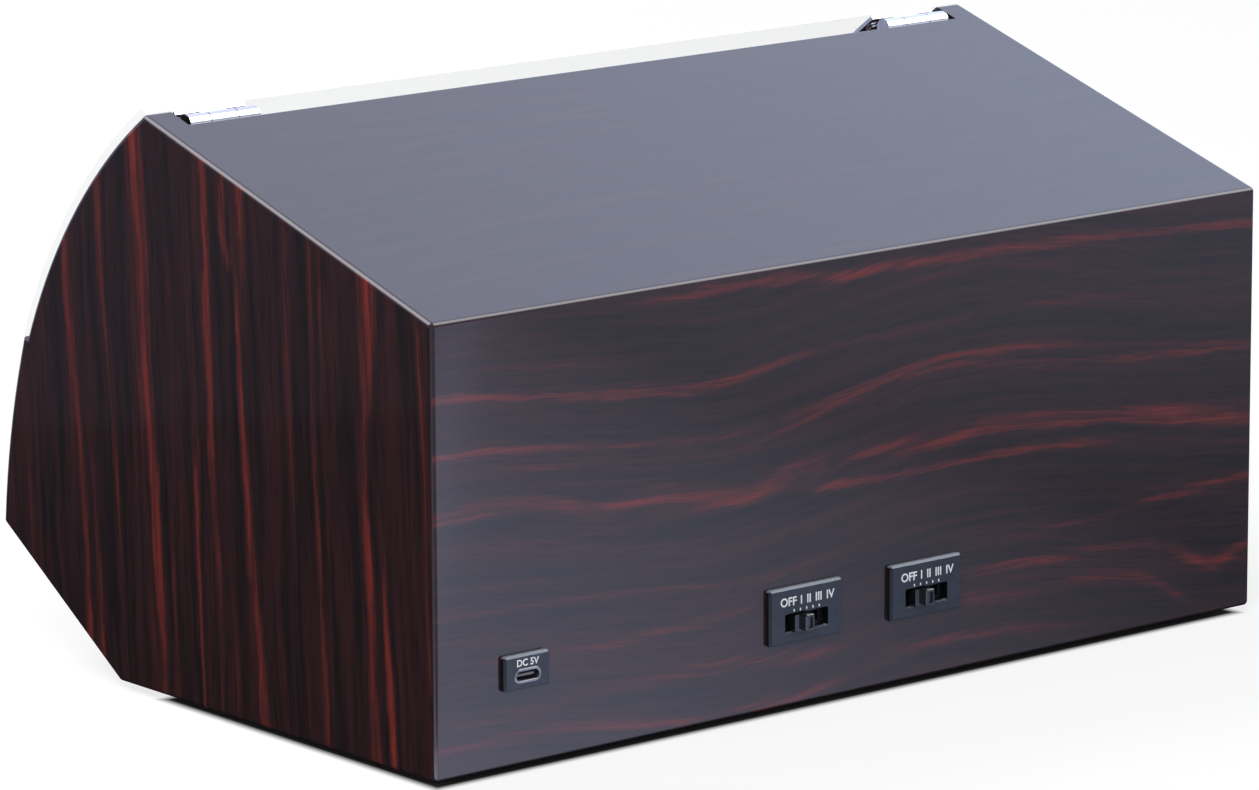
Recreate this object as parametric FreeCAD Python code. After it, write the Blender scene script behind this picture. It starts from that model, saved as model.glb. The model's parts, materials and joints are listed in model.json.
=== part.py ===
import FreeCAD, Part
import math
import os

# A watch winder box for four watches. Sizes are in millimetres and angles in degrees.
# The case stands on four feet with its front towards -Y and its right-hand side towards +X.
# Side-view points are (forward, height): forward of the back face and above the case's underside.

# Case
WIDTH = 330.0
BACK_HEIGHT = 135.3
TOP_ANGLE = 17.1
TOP_LENGTH = 135.5
TIP_OVERHANG = 9.1
BASE_DEPTH = 156.5
CHIN_DEPTH = 217.0
CHIN_HEIGHT = 39.5
FRONT_RADIUS = 247.0
CHEEK_THICKNESS = 10.0
PANEL_THICKNESS = 9.0
BOTTOM_THICKNESS = 5.0
EDGE_RADIUS = 1.5
PANEL_GAP = 0.3
BLOCK_SIZE = 15.0
BLOCK_HEIGHT = 18.0
BLOCK_CORNER = 1.0
SCREW_RADIUS = 1.5
SCREW_SINK = 0.5
HOLE_CLEARANCE = 0.3
FOOT_RADIUS = 7.0
FOOT_HEIGHT = 2.5
FOOT_INSET = 25.0

# Lid and its seat, a rebate in the front edge of the cheeks
SEAT_RADIUS = 176.9
STEP_SETBACK = 14.6
STEP_HEIGHT = 99.3
REBATE = 2.0
LID_THICKNESS = 2.0
LID_GAP = 0.3
LID_SIDE_INSET = 0.5
LIP_HEIGHT = 8.0
KNOB_RISE = 16.0
KNOB_RADIUS = 6.5
KNOB_LENGTH = 12.0
LID_SCREW_RADIUS = 1.6

# Lid hinges
HINGE_LENGTH = 26.0
HINGE_FROM_CHEEK = 2.0
HINGE_AHEAD = 3.4
HINGE_BELOW = 2.0
KNUCKLE_RADIUS = 3.0
KNUCKLE_SPLIT = 0.31
KNUCKLE_GAP = 0.3
PIN_RADIUS = 1.2
LEAF_THICKNESS = 1.2
LEAF_REACH = 14.0

# Deck, which leans back and carries both drives
AXIS_LIFT = 45.0
DECK_FOOT = 27.8
DECK_BORDER = 13.0
DECK_THICKNESS = 5.0
CLEAT_SIZE = 8.0

# Rotor, with a well for each of its two cuffs
ROTOR_SHARE = 0.485
ROTOR_MARGIN = 11.5
ROTOR_GAP = 1.5
ROTOR_PROUD = 1.0
ROTOR_WALL = 2.0
SKIRT_DEPTH = 14.0
WELL_DEPTH = 28.0
HUB_RADIUS = 11.0
HUB_LENGTH = 9.0
HUB_GAP = 0.8
CUFF_HEIGHT = 40.0
CUFF_PROUD = 21.0
CUFF_END_GAP = 0.3
CUFF_SIDE_GAP = 5.0

# Drive train
GEAR_MODULE = 1.0
GEAR_TEETH = 54
PINION_TEETH = 18
GEAR_THICKNESS = 5.0
GEAR_INSET = 0.5
GEAR_HOLES = 6
GEAR_BACKLASH = 0.2
PRESSURE_ANGLE = 20.0
SHAFT_RADIUS = 3.0
RUN_CLEARANCE = 0.05
PRESS_CLEARANCE = 0.02
BUSH_WALL = 2.0
BUSH_LENGTH = 9.0
FLANGE_THICKNESS = 1.2
CLIP_THICKNESS = 0.8
CLIP_REACH = 2.5
CLIP_GAP = 0.2
GROOVE_DEPTH = 0.6
SHAFT_TAIL = 2.0
CHASSIS_THICKNESS = 3.0
RIB_WIDTH = 2.0
GEAR_ROOM = 4.0
SEAT_RIM = 2.0
LEG_RADIUS = 5.0
LEG_CLEARANCE = 3.0
SCREW_BITE = 3.0
GEARBOX_RADIUS = 12.0
GEARBOX_LENGTH = 16.0
MOTOR_RADIUS = 10.5
MOTOR_LENGTH = 22.0
MOTOR_CORNER = 1.5
MOTOR_BOSS = 2.0
OUTPUT_RADIUS = 2.0
MOTOR_ANGLE = 36.87

# Power inlet and switches on the back panel
INLET_FROM_CHEEK = 23.0
INLET_HEIGHT = 28.4
INLET_PLATE = (17.0, 10.7)
PORT_DROP = 1.1
PLATE_PROUD = 1.9
PLATE_CORNER = 1.0
PLATE_BEVEL = 0.7
PORT_SHELL = (8.94, 3.26)
PORT_WALL = 0.3
PORT_DEPTH = 7.5
PORT_BOARD = (14.0, 16.0, 1.2)
SWITCH_SPREAD = 24.3
SWITCH_HEIGHT = 28.5
SWITCH_PLATE = (29.0, 17.5)
SLOT_DROP = 2.3
SLOT_HEIGHT = 6.0
SWITCH_PITCH = 2.5
SWITCH_STEPS = 4
KNOB_GAP = 0.4
SLIDER = (6.4, 5.2)
SLIDER_PROUD = 3.1
KNOB_EASING = 0.5
SLIDER_CORNER = 0.6
GRIP_RIM = 0.9
GRIP_DEPTH = 0.6
STEM_DEPTH = 4.0
SWITCH_BODY = (23.0, 9.0)
SWITCH_SUNK = 1.0
WINDOW_GAP = 0.5
WINDOW_CORNER = 0.8
SMALL_CORNER = 0.3
BOARD = (96.0, 40.0, 1.6)
BOARD_CORNER = 2.0
MAIN_CHIP = (10.0, 10.0, 1.6)
DRIVER_CHIP = (5.0, 6.0, 1.5)
PLUG = (7.5, 6.0, 6.0)
PLUG_RISE = 12.0
LEAD_RADIUS = 1.0
LEAD_RUN = 9.0

V = FreeCAD.Vector
BACK_PROUD = PLATE_PROUD + SLIDER_PROUD
BACK_Y = (CHIN_DEPTH - BACK_PROUD) / 2
INNER = WIDTH / 2 - CHEEK_THICKNESS
INLET_X = INNER - INLET_FROM_CHEEK
PORT_HEIGHT = INLET_HEIGHT - PORT_DROP


def add(point, *steps):
    """Moves a side-view point by pairs of (distance, direction)."""
    forward = point[0] + sum(distance * direction[0] for distance, direction in steps)
    height = point[1] + sum(distance * direction[1] for distance, direction in steps)
    return forward, height


def heading(degrees):
    """The side-view direction at an angle above straight forward."""
    return math.cos(math.radians(degrees)), math.sin(math.radians(degrees))


def crossing(point, direction, other, other_direction):
    """Where two side-view lines meet."""
    gap = other[0] - point[0], other[1] - point[1]
    turn = direction[0] * other_direction[1] - direction[1] * other_direction[0]
    distance = (gap[0] * other_direction[1] - gap[1] * other_direction[0]) / turn
    return add(point, (distance, direction))


def bearing(centre, point):
    """The angle above straight forward at which a point is seen from a centre."""
    return math.degrees(math.atan2(point[1] - centre[1], point[0] - centre[0]))


def arc_centre(start, end, radius):
    """The centre, towards the back, of an arc from an upper to a lower point."""
    half = math.dist(start, end) / 2
    middle = (start[0] + end[0]) / 2, (start[1] + end[1]) / 2
    across = (start[1] - end[1]) / (2 * half), (end[0] - start[0]) / (2 * half)
    return add(middle, (-math.sqrt(radius ** 2 - half ** 2), across))


def on_top(along, below=0.0):
    """A side-view point along the sloping top from its back edge, and below its surface."""
    return add((0.0, BACK_HEIGHT), (along, heading(TOP_ANGLE)), (below, heading(TOP_ANGLE - 90)))


# Side view of the case
TIP = on_top(TOP_LENGTH + TIP_OVERHANG)
STEP = CHIN_DEPTH - STEP_SETBACK, STEP_HEIGHT
CHIN = CHIN_DEPTH, CHIN_HEIGHT
BASE_EDGE = BASE_DEPTH, 0.0
SEAT_CENTRE = arc_centre(TIP, STEP, SEAT_RADIUS)
STEP_ANGLE = bearing(SEAT_CENTRE, STEP)
TIP_ANGLE = bearing(SEAT_CENTRE, TIP)
STEP_OUTER = add(SEAT_CENTRE, (SEAT_RADIUS + REBATE, heading(STEP_ANGLE)))
FRONT_CENTRE = arc_centre(STEP_OUTER, CHIN, FRONT_RADIUS)
CHIN_ANGLE = bearing(BASE_EDGE, CHIN)
CHIN_INSIDE = add(CHIN, (PANEL_THICKNESS, heading(CHIN_ANGLE + 90)))
CHIN_CORNER = crossing(
    CHIN_INSIDE, heading(CHIN_ANGLE),
    add(FRONT_CENTRE, (FRONT_RADIUS - PANEL_THICKNESS, heading(bearing(FRONT_CENTRE, CHIN)))), (0.0, 1.0))
TOP_CORNER = crossing((PANEL_THICKNESS, 0.0), (0.0, 1.0), on_top(0.0, PANEL_THICKNESS), heading(TOP_ANGLE))
CHIN_FOOT = crossing(CHIN_INSIDE, heading(CHIN_ANGLE), (0.0, 0.0), (1.0, 0.0))

# Hinge axis and the lid's curve
HINGE_AXIS = on_top(TOP_LENGTH + HINGE_AHEAD, HINGE_BELOW)
LID_INSIDE = SEAT_RADIUS + LID_GAP
LID_OUTSIDE = LID_INSIDE + LID_THICKNESS
LID_LOW = STEP_ANGLE + math.degrees(LID_GAP / LID_INSIDE)
KNOB_ANGLE = STEP_ANGLE + math.degrees(KNOB_RISE / LID_INSIDE)

# The deck's front face, from the chin panel up to the top panel, and the rotor axis that starts on it
ALONG_AXIS = heading(AXIS_LIFT)
UP_DECK = heading(AXIS_LIFT + 90)
DECK_LOW = crossing((0.0, DECK_FOOT), (1.0, 0.0), CHIN_INSIDE, heading(CHIN_ANGLE))
DECK_HIGH = crossing(DECK_LOW, UP_DECK, on_top(0.0, PANEL_THICKNESS), heading(TOP_ANGLE))
DECK_LENGTH = math.dist(DECK_LOW, DECK_HIGH)
ROTOR_ORIGIN = add(DECK_LOW, (ROTOR_SHARE * DECK_LENGTH, UP_DECK))
ROTOR_X = INNER / 2
ROTOR_RADIUS = min(ROTOR_X - ROTOR_MARGIN, ROTOR_SHARE * DECK_LENGTH - DECK_BORDER - ROTOR_GAP)
WELL_WIDTH = 0.7 * ROTOR_RADIUS
WELL_LENGTH = 1.06 * ROTOR_RADIUS
WELL_CORNER = 0.08 * ROTOR_RADIUS
WELL_X = 0.41 * ROTOR_RADIUS

# Levels along the rotor axis, from the deck's front face
WELL_FLOOR = ROTOR_PROUD - WELL_DEPTH
HUB_TOP = WELL_FLOOR - ROTOR_WALL
HUB_END = HUB_TOP - HUB_LENGTH
GEAR_BACK = HUB_END + GEAR_INSET
BUSH_FRONT = HUB_END - HUB_GAP
CHASSIS_FRONT = BUSH_FRONT - FLANGE_THICKNESS
CHASSIS_BACK = CHASSIS_FRONT - CHASSIS_THICKNESS
BUSH_END = CHASSIS_FRONT - BUSH_LENGTH
CLIP_BACK = BUSH_END - CLIP_GAP - CLIP_THICKNESS
GEARBOX_BACK = CHASSIS_BACK - GEARBOX_LENGTH
MOTOR_BACK = GEARBOX_BACK - MOTOR_LENGTH
LEG_PLACE = (ROTOR_RADIUS + ROTOR_GAP + LEG_CLEARANCE + LEG_RADIUS) / math.sqrt(2)
GEAR_DISTANCE = GEAR_MODULE * (GEAR_TEETH + PINION_TEETH) / 2
SLOT_LENGTH = SLIDER[0] + SWITCH_PITCH * SWITCH_STEPS + 2 * KNOB_GAP


def side(point, x=0.0):
    """The model-space place of a side-view point."""
    return V(x, BACK_Y - point[0], FOOT_HEIGHT + point[1])


def prism(points, x_from, x_to):
    """Side-view outline drawn out along X; an entry of two points is an arc over the first one."""
    edges = []
    start = points[-1][-1] if isinstance(points[-1][0], tuple) else points[-1]
    for entry in points:
        if isinstance(entry[0], tuple):
            over, end = entry
            edges.append(Part.Arc(side(start, x_from), side(over, x_from), side(end, x_from)).toShape())
        else:
            end = entry
            edges.append(Part.LineSegment(side(start, x_from), side(end, x_from)).toShape())
        start = end
    return Part.Face(Part.Wire(edges)).extrude(V(x_to - x_from, 0, 0))


def curve(centre, radius, from_angle, to_angle):
    """An arc entry for prism: the arc's middle and its end."""
    middle = add(centre, (radius, heading((from_angle + to_angle) / 2)))
    return middle, add(centre, (radius, heading(to_angle)))


def edges_at(shape, points):
    """The edges along X that stand at side-view points."""
    places = [side(point) for point in points]
    found = []
    for edge in shape.Edges:
        first, last = edge.Vertexes[0].Point, edge.Vertexes[-1].Point
        if math.hypot(first.y - last.y, first.z - last.z) > 1e-6:
            continue
        if any(math.hypot(first.y - p.y, first.z - p.z) < 1e-6 for p in places):
            found.append(edge)
    return found


def cylinder(radius, low, high, x=0.0, y=0.0):
    """An upright cylinder between two levels."""
    return Part.makeCylinder(radius, high - low, V(x, y, low))


def rounded_box(width, length, low, high, corner, x=0.0, y=0.0):
    """A box with rounded upright edges, centred on x and y."""
    box = Part.makeBox(width, length, high - low, V(x - width / 2, y - length / 2, low))
    upright = [edge for edge in box.Edges if abs(edge.tangentAt(edge.FirstParameter).z) > 0.99]
    return box.makeFillet(corner, upright)


def along_radius(centre, radius, degrees, x):
    """Placement whose Z points away from a side-view centre at an angle above straight forward."""
    place = side(add(centre, (radius, heading(degrees))), x)
    return FreeCAD.Placement(place, FreeCAD.Rotation(V(1, 0, 0), 90 - degrees))


def drive_placement(hand):
    """Placement of a drive: Z runs out along its rotor axis and Y up the deck."""
    place = side(ROTOR_ORIGIN, hand * ROTOR_X)
    return FreeCAD.Placement(place, FreeCAD.Rotation(V(1, 0, 0), 90 - AXIS_LIFT))


def put(shape, placement):
    """A copy of a shape, moved by a placement."""
    return shape.transformed(placement.toMatrix(), True)


def back_box(size, x, height, inside, outside, corner):
    """A rounded block on the back panel, from a depth inside its face to a depth outside."""
    block = rounded_box(size[0], size[1], inside, outside, corner)
    upright = FreeCAD.Rotation(V(1, 0, 0), -90)
    return put(block, FreeCAD.Placement(V(x, BACK_Y, FOOT_HEIGHT + height), upright))


def case_block(x_from, x_to):
    """The whole side view as a block, with its outer corners rounded."""
    block = prism([
        (0.0, 0.0),
        (0.0, BACK_HEIGHT),
        TIP,
        curve(SEAT_CENTRE, SEAT_RADIUS, TIP_ANGLE, STEP_ANGLE),
        STEP_OUTER,
        curve(FRONT_CENTRE, FRONT_RADIUS, bearing(FRONT_CENTRE, STEP_OUTER), bearing(FRONT_CENTRE, CHIN)),
        BASE_EDGE,
    ], x_from, x_to)
    corners = [(0.0, 0.0), (0.0, BACK_HEIGHT), TIP, CHIN, BASE_EDGE]
    return block.makeFillet(EDGE_RADIUS, edges_at(block, corners))


def cheek(hand):
    """A side of the case, rounded along the edge of its outer face."""
    slab = case_block(hand * INNER, hand * WIDTH / 2)
    rim = []
    for edge in slab.Edges:
        middle = edge.valueAt((edge.FirstParameter + edge.LastParameter) / 2)
        if abs(middle.x - hand * WIDTH / 2) < 1e-6 and edge.Length > 2 * REBATE:
            rim.append(edge)
    return slab.makeFillet(EDGE_RADIUS, rim)


def back_panel():
    """The back, mitred to the top, with windows behind the inlet and switch plates."""
    panel = prism([(0.0, 0.0), (0.0, BACK_HEIGHT), TOP_CORNER, (PANEL_THICKNESS, 0.0)], -INNER, INNER)
    panel = panel.common(case_block(-INNER, INNER))
    panel = panel.cut(back_box(inlet_window(), INLET_X, PORT_HEIGHT, -PANEL_THICKNESS, 0.0, WINDOW_CORNER))
    window = SWITCH_BODY[0] + 2 * WINDOW_GAP, SWITCH_BODY[1] + 2 * WINDOW_GAP
    for x in (-SWITCH_SPREAD, SWITCH_SPREAD):
        slot_height = SWITCH_HEIGHT - SLOT_DROP
        panel = panel.cut(back_box(window, x, slot_height, -PANEL_THICKNESS, 0.0, WINDOW_CORNER))
    return panel


def inlet_window():
    """Width and height of the hole behind the inlet plate."""
    return PORT_BOARD[0] + WINDOW_GAP, PORT_SHELL[1] + 2 * PORT_BOARD[2] + WINDOW_GAP


def top_panel():
    """The sloping top, which stops short of the cheeks' tips to leave room for the hinges."""
    front = on_top(TOP_LENGTH)
    panel = prism([(0.0, BACK_HEIGHT), front, on_top(TOP_LENGTH, PANEL_THICKNESS), TOP_CORNER], -INNER, INNER)
    panel = panel.common(case_block(-INNER, INNER))
    return panel.makeFillet(EDGE_RADIUS / 2, edges_at(panel, [front]))


def front_panel():
    """The curved front below the lid, with a lip that the lid's lower edge lies on."""
    lip_angle = STEP_ANGLE + math.degrees(LIP_HEIGHT / SEAT_RADIUS)
    lip_inside = add(SEAT_CENTRE, (SEAT_RADIUS + REBATE - PANEL_THICKNESS, heading(lip_angle)))
    lip_outside = add(SEAT_CENTRE, (SEAT_RADIUS + PANEL_THICKNESS, heading(lip_angle)))
    middle_angle = (bearing(FRONT_CENTRE, STEP_OUTER) + bearing(FRONT_CENTRE, CHIN)) / 2
    inside = add(FRONT_CENTRE, (FRONT_RADIUS - PANEL_THICKNESS, heading(middle_angle)))
    beyond = add(CHIN, (1.0, (CHIN[0] - CHIN_CORNER[0], CHIN[1] - CHIN_CORNER[1])))
    panel = prism([lip_outside, lip_inside, (inside, CHIN_CORNER), beyond], -INNER, INNER)
    return panel.common(case_block(-INNER, INNER))


def chin_panel():
    """The panel that slopes back from the chin to the base."""
    panel = prism([CHIN, CHIN_CORNER, CHIN_FOOT, BASE_EDGE], -INNER, INNER)
    return panel.common(case_block(-INNER, INNER))


def block_places():
    """Centres of the corner blocks, as (x, forward)."""
    half = BLOCK_SIZE / 2
    forwards = PANEL_THICKNESS + half, CHIN_FOOT[0] - PANEL_GAP - half
    return [(hand * (INNER - half), forward) for hand in (-1, 1) for forward in forwards]


def bottom_panel():
    """The base cover, let in between the walls, with sunk screw holes."""
    back, front = PANEL_THICKNESS + PANEL_GAP, CHIN_FOOT[0] - PANEL_GAP
    outline = [(back, 0.0), (back, BOTTOM_THICKNESS), (front, BOTTOM_THICKNESS), (front, 0.0)]
    panel = prism(outline, PANEL_GAP - INNER, INNER - PANEL_GAP)
    for x, forward in block_places():
        place = side((forward, 0.0), x)
        hole = cylinder(SCREW_RADIUS + RUN_CLEARANCE, 0.0, BOTTOM_THICKNESS)
        sink = cylinder(2 * SCREW_RADIUS + HOLE_CLEARANCE, 0.0, SCREW_RADIUS + SCREW_SINK)
        panel = panel.cut(hole.fuse(sink).translate(place))
    return panel


def bottom_screws():
    """The screws that hold the base cover to the corner blocks."""
    screws = []
    for x, forward in block_places():
        screw = cylinder(2 * SCREW_RADIUS, SCREW_SINK, SCREW_RADIUS + SCREW_SINK)
        screw = screw.fuse(cylinder(SCREW_RADIUS, SCREW_RADIUS, BOTTOM_THICKNESS + BLOCK_HEIGHT / 2))
        screws.append(screw.translate(side((forward, 0.0), x)))
    return Part.makeCompound(screws)


def corner_blocks():
    """Glued blocks in the bottom corners, drilled for the base screws."""
    blocks = []
    for x, forward in block_places():
        low, high = BOTTOM_THICKNESS, BOTTOM_THICKNESS + BLOCK_HEIGHT
        block = rounded_box(BLOCK_SIZE, BLOCK_SIZE, low, high, BLOCK_CORNER)
        hole = cylinder(SCREW_RADIUS + RUN_CLEARANCE, low, high)
        blocks.append(block.cut(hole).translate(side((forward, 0.0), x)))
    return Part.makeCompound(blocks)


def rubber_feet():
    """Four round feet under the base cover."""
    feet = []
    forwards = PANEL_THICKNESS + FOOT_INSET, CHIN_FOOT[0] - FOOT_INSET
    for x in (FOOT_INSET - INNER, INNER - FOOT_INSET):
        for forward in forwards:
            foot = cylinder(FOOT_RADIUS, -FOOT_HEIGHT, 0.0)
            low = [edge for edge in foot.Edges if abs(edge.BoundBox.ZMax + FOOT_HEIGHT) < 1e-6]
            feet.append(foot.makeChamfer(FOOT_HEIGHT / 3, low).translate(side((forward, 0.0), x)))
    return Part.makeCompound(feet)


def lid():
    """The clear curved lid, which lies in the rebate of both cheeks."""
    half = WIDTH / 2 - LID_SIDE_INSET
    low_inside = add(SEAT_CENTRE, (LID_INSIDE, heading(LID_LOW)))
    high_outside = add(SEAT_CENTRE, (LID_OUTSIDE, heading(TIP_ANGLE)))
    sheet = prism([
        low_inside,
        curve(SEAT_CENTRE, LID_INSIDE, LID_LOW, TIP_ANGLE),
        high_outside,
        curve(SEAT_CENTRE, LID_OUTSIDE, TIP_ANGLE, LID_LOW),
    ], -half, half)
    hole = cylinder(LID_SCREW_RADIUS + HOLE_CLEARANCE, -2 * LID_THICKNESS, LID_THICKNESS)
    return sheet.cut(put(hole, knob_placement()))


def knob_placement():
    """Placement of the lid's knob: Z points straight out of the lid."""
    return along_radius(SEAT_CENTRE, LID_OUTSIDE, KNOB_ANGLE, 0.0)


def lid_knob():
    """A turned pull: a foot, a waist and a domed head."""
    seat = RUN_CLEARANCE + LID_OUTSIDE - math.sqrt(LID_OUTSIDE ** 2 - KNOB_RADIUS ** 2)
    foot, waist = 0.75 * KNOB_RADIUS, 0.45 * KNOB_RADIUS
    rim = 0.75 * KNOB_LENGTH
    crown = KNOB_LENGTH - rim
    ball = (KNOB_RADIUS ** 2 + crown ** 2) / (2 * crown)
    half_turn = math.asin(KNOB_RADIUS / ball) / 2
    over = V(ball * math.sin(half_turn), 0, KNOB_LENGTH - ball + ball * math.cos(half_turn))
    edges = [
        Part.LineSegment(V(0, 0, seat), V(foot, 0, seat)),
        Part.Arc(V(foot, 0, seat), V(waist, 0, 0.45 * KNOB_LENGTH), V(KNOB_RADIUS, 0, rim)),
        Part.Arc(V(KNOB_RADIUS, 0, rim), over, V(0, 0, KNOB_LENGTH)),
        Part.LineSegment(V(0, 0, KNOB_LENGTH), V(0, 0, seat)),
    ]
    face = Part.Face(Part.Wire([edge.toShape() for edge in edges]))
    knob = face.revolve(V(0, 0, 0), V(0, 0, 1), 360)
    bore = cylinder(LID_SCREW_RADIUS + PRESS_CLEARANCE, 0.0, 0.6 * KNOB_LENGTH)
    return put(knob.cut(bore), knob_placement())


def lid_knob_screw():
    """The screw that holds the knob from inside the lid."""
    under_lid = -LID_THICKNESS - RUN_CLEARANCE
    head = cylinder(2 * LID_SCREW_RADIUS, under_lid - LID_SCREW_RADIUS, under_lid)
    shank = cylinder(LID_SCREW_RADIUS, under_lid, 0.55 * KNOB_LENGTH)
    return put(head.fuse(shank), knob_placement())


def hinge_ranges(hand):
    """X from the inner to the outer end of a hinge, and of its moving knuckle."""
    outer = INNER - HINGE_FROM_CHEEK
    inner = outer - HINGE_LENGTH
    moving = inner + KNUCKLE_SPLIT * HINGE_LENGTH, outer - KNUCKLE_SPLIT * HINGE_LENGTH
    if hand > 0:
        return (inner, outer), moving
    return (-outer, -inner), (-moving[1], -moving[0])


def barrel(radius, x_from, x_to):
    """A cylinder on the hinge axis."""
    return Part.makeCylinder(radius, x_to - x_from, side(HINGE_AXIS, x_from), V(1, 0, 0))


def top_bar(along_from, along_to, below_from, below_to, x_from, x_to):
    """A bar square to the sloping top."""
    return prism([
        on_top(along_from, below_from),
        on_top(along_to, below_from),
        on_top(along_to, below_to),
        on_top(along_from, below_to),
    ], x_from, x_to)


def hinge_fixed_leaves():
    """Leaves on the front edge of the top panel, each with its two outer knuckles."""
    leaves = []
    front = TOP_LENGTH + LEAF_THICKNESS
    clear = math.sqrt((KNUCKLE_RADIUS + KNUCKLE_GAP) ** 2 - (HINGE_AHEAD - LEAF_THICKNESS) ** 2)
    shoulder = HINGE_BELOW + clear + KNUCKLE_GAP
    for hand in (-1, 1):
        whole, moving = hinge_ranges(hand)
        leaf = top_bar(TOP_LENGTH, front, shoulder, PANEL_THICKNESS, *whole)
        for x_from, x_to in ((whole[0], moving[0] - KNUCKLE_GAP), (moving[1] + KNUCKLE_GAP, whole[1])):
            leaf = leaf.fuse(top_bar(TOP_LENGTH, front, HINGE_BELOW, shoulder, x_from, x_to))
            leaf = leaf.fuse(barrel(KNUCKLE_RADIUS, x_from, x_to))
        leaf = leaf.cut(barrel(PIN_RADIUS + PRESS_CLEARANCE, *whole))
        leaves.append(leaf.removeSplitter())
    return Part.makeCompound(leaves)


def hinge_moving_leaves():
    """Leaves on the inside of the lid, each carried by its middle knuckle on a short web."""
    leaves = []
    axis_angle = bearing(SEAT_CENTRE, HINGE_AXIS)
    outward, down = heading(axis_angle), heading(axis_angle - 90)
    leaf_outside = LID_INSIDE - RUN_CLEARANCE
    leaf_inside = leaf_outside - LEAF_THICKNESS
    rise = (leaf_outside + leaf_inside) / 2 - math.dist(SEAT_CENTRE, HINGE_AXIS)
    high = axis_angle - math.degrees(KNUCKLE_RADIUS / LID_INSIDE)
    low = high - math.degrees(LEAF_REACH / LID_INSIDE)
    for hand in (-1, 1):
        whole, moving = hinge_ranges(hand)
        leaf = prism([
            add(SEAT_CENTRE, (leaf_inside, heading(low))),
            curve(SEAT_CENTRE, leaf_inside, low, high),
            add(SEAT_CENTRE, (leaf_outside, heading(high))),
            curve(SEAT_CENTRE, leaf_outside, high, low),
        ], *whole)
        web = prism([
            add(HINGE_AXIS, (0.9 * KNUCKLE_RADIUS, outward)),
            add(HINGE_AXIS, (0.9 * KNUCKLE_RADIUS, down)),
            add(HINGE_AXIS, (2.2 * KNUCKLE_RADIUS, down), (rise, outward)),
            add(HINGE_AXIS, (1.2 * KNUCKLE_RADIUS, down), (rise, outward)),
        ], *moving)
        leaf = leaf.fuse([web, barrel(KNUCKLE_RADIUS, *moving)])
        leaf = leaf.cut(barrel(PIN_RADIUS + RUN_CLEARANCE, *moving))
        leaves.append(leaf.removeSplitter())
    return Part.makeCompound(leaves)


def hinge_pins():
    """Pins held by the fixed leaves."""
    return Part.makeCompound([barrel(PIN_RADIUS, *hinge_ranges(hand)[0]) for hand in (-1, 1)])


def leg_places():
    """Where a chassis stands on the deck, in its drive's own frame."""
    return [(x, y) for x in (-LEG_PLACE, LEG_PLACE) for y in (-LEG_PLACE, LEG_PLACE)]


def deck_ends(depth):
    """The upper and lower ends of a line parallel to the deck's front, at a depth behind it."""
    start = add(ROTOR_ORIGIN, (-depth, ALONG_AXIS))
    upper = crossing(start, UP_DECK, on_top(0.0, PANEL_THICKNESS), heading(TOP_ANGLE))
    lower = crossing(start, UP_DECK, CHIN_INSIDE, heading(CHIN_ANGLE))
    return upper, lower


def deck_panel():
    """The leaning board between the watches and the drives, with a hole for each rotor."""
    upper, lower = deck_ends(0.0)
    upper_back, lower_back = deck_ends(DECK_THICKNESS)
    panel = prism([lower, upper, upper_back, lower_back], -INNER, INNER)
    for hand in (-1, 1):
        holes = [cylinder(ROTOR_RADIUS + ROTOR_GAP, -2 * DECK_THICKNESS, DECK_THICKNESS)]
        for x, y in leg_places():
            pilot = SCREW_RADIUS + PRESS_CLEARANCE
            holes.append(cylinder(pilot, -DECK_THICKNESS, SCREW_BITE + SCREW_SINK - DECK_THICKNESS, x, y))
        panel = panel.cut([put(hole, drive_placement(hand)) for hole in holes])
    return panel


def deck_cleats():
    """Strips on the cheeks, behind the deck, that hold it."""
    back = DECK_THICKNESS + CLEAT_SIZE
    corners = []
    for depth, step in ((DECK_THICKNESS, -1), (DECK_THICKNESS, 1), (back, 1), (back, -1)):
        corners.append(add(ROTOR_ORIGIN, (-depth, ALONG_AXIS), (0.8 * step * ROTOR_RADIUS, UP_DECK)))
    return Part.makeCompound([prism(corners, hand * (INNER - CLEAT_SIZE), hand * INNER) for hand in (-1, 1)])


def rotor():
    """A moulded drum with two wells, a skirt and a hub for the gear and the shaft."""
    face_back = ROTOR_PROUD - ROTOR_WALL
    drum = cylinder(ROTOR_RADIUS, -SKIRT_DEPTH, ROTOR_PROUD)
    rim = [edge for edge in drum.Edges if abs(edge.BoundBox.ZMin - ROTOR_PROUD) < 1e-6]
    drum = drum.makeChamfer(ROTOR_WALL / 2, rim)
    drum = drum.cut(cylinder(ROTOR_RADIUS - ROTOR_WALL, -SKIRT_DEPTH, face_back))
    cups, hollows = [], []
    for x in (-WELL_X, WELL_X):
        width, length = WELL_WIDTH + 2 * ROTOR_WALL, WELL_LENGTH + 2 * ROTOR_WALL
        cups.append(rounded_box(width, length, HUB_TOP, face_back, WELL_CORNER + ROTOR_WALL, x))
        hollows.append(rounded_box(WELL_WIDTH, WELL_LENGTH, WELL_FLOOR, 2 * ROTOR_PROUD, WELL_CORNER, x))
    hub = cylinder(HUB_RADIUS, HUB_END, HUB_TOP + ROTOR_WALL / 2)
    drum = drum.fuse(cups + [hub]).cut(hollows)
    drum = drum.cut(cylinder(SHAFT_RADIUS + PRESS_CLEARANCE, HUB_END, HUB_TOP))
    return drum.removeSplitter()


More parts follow.
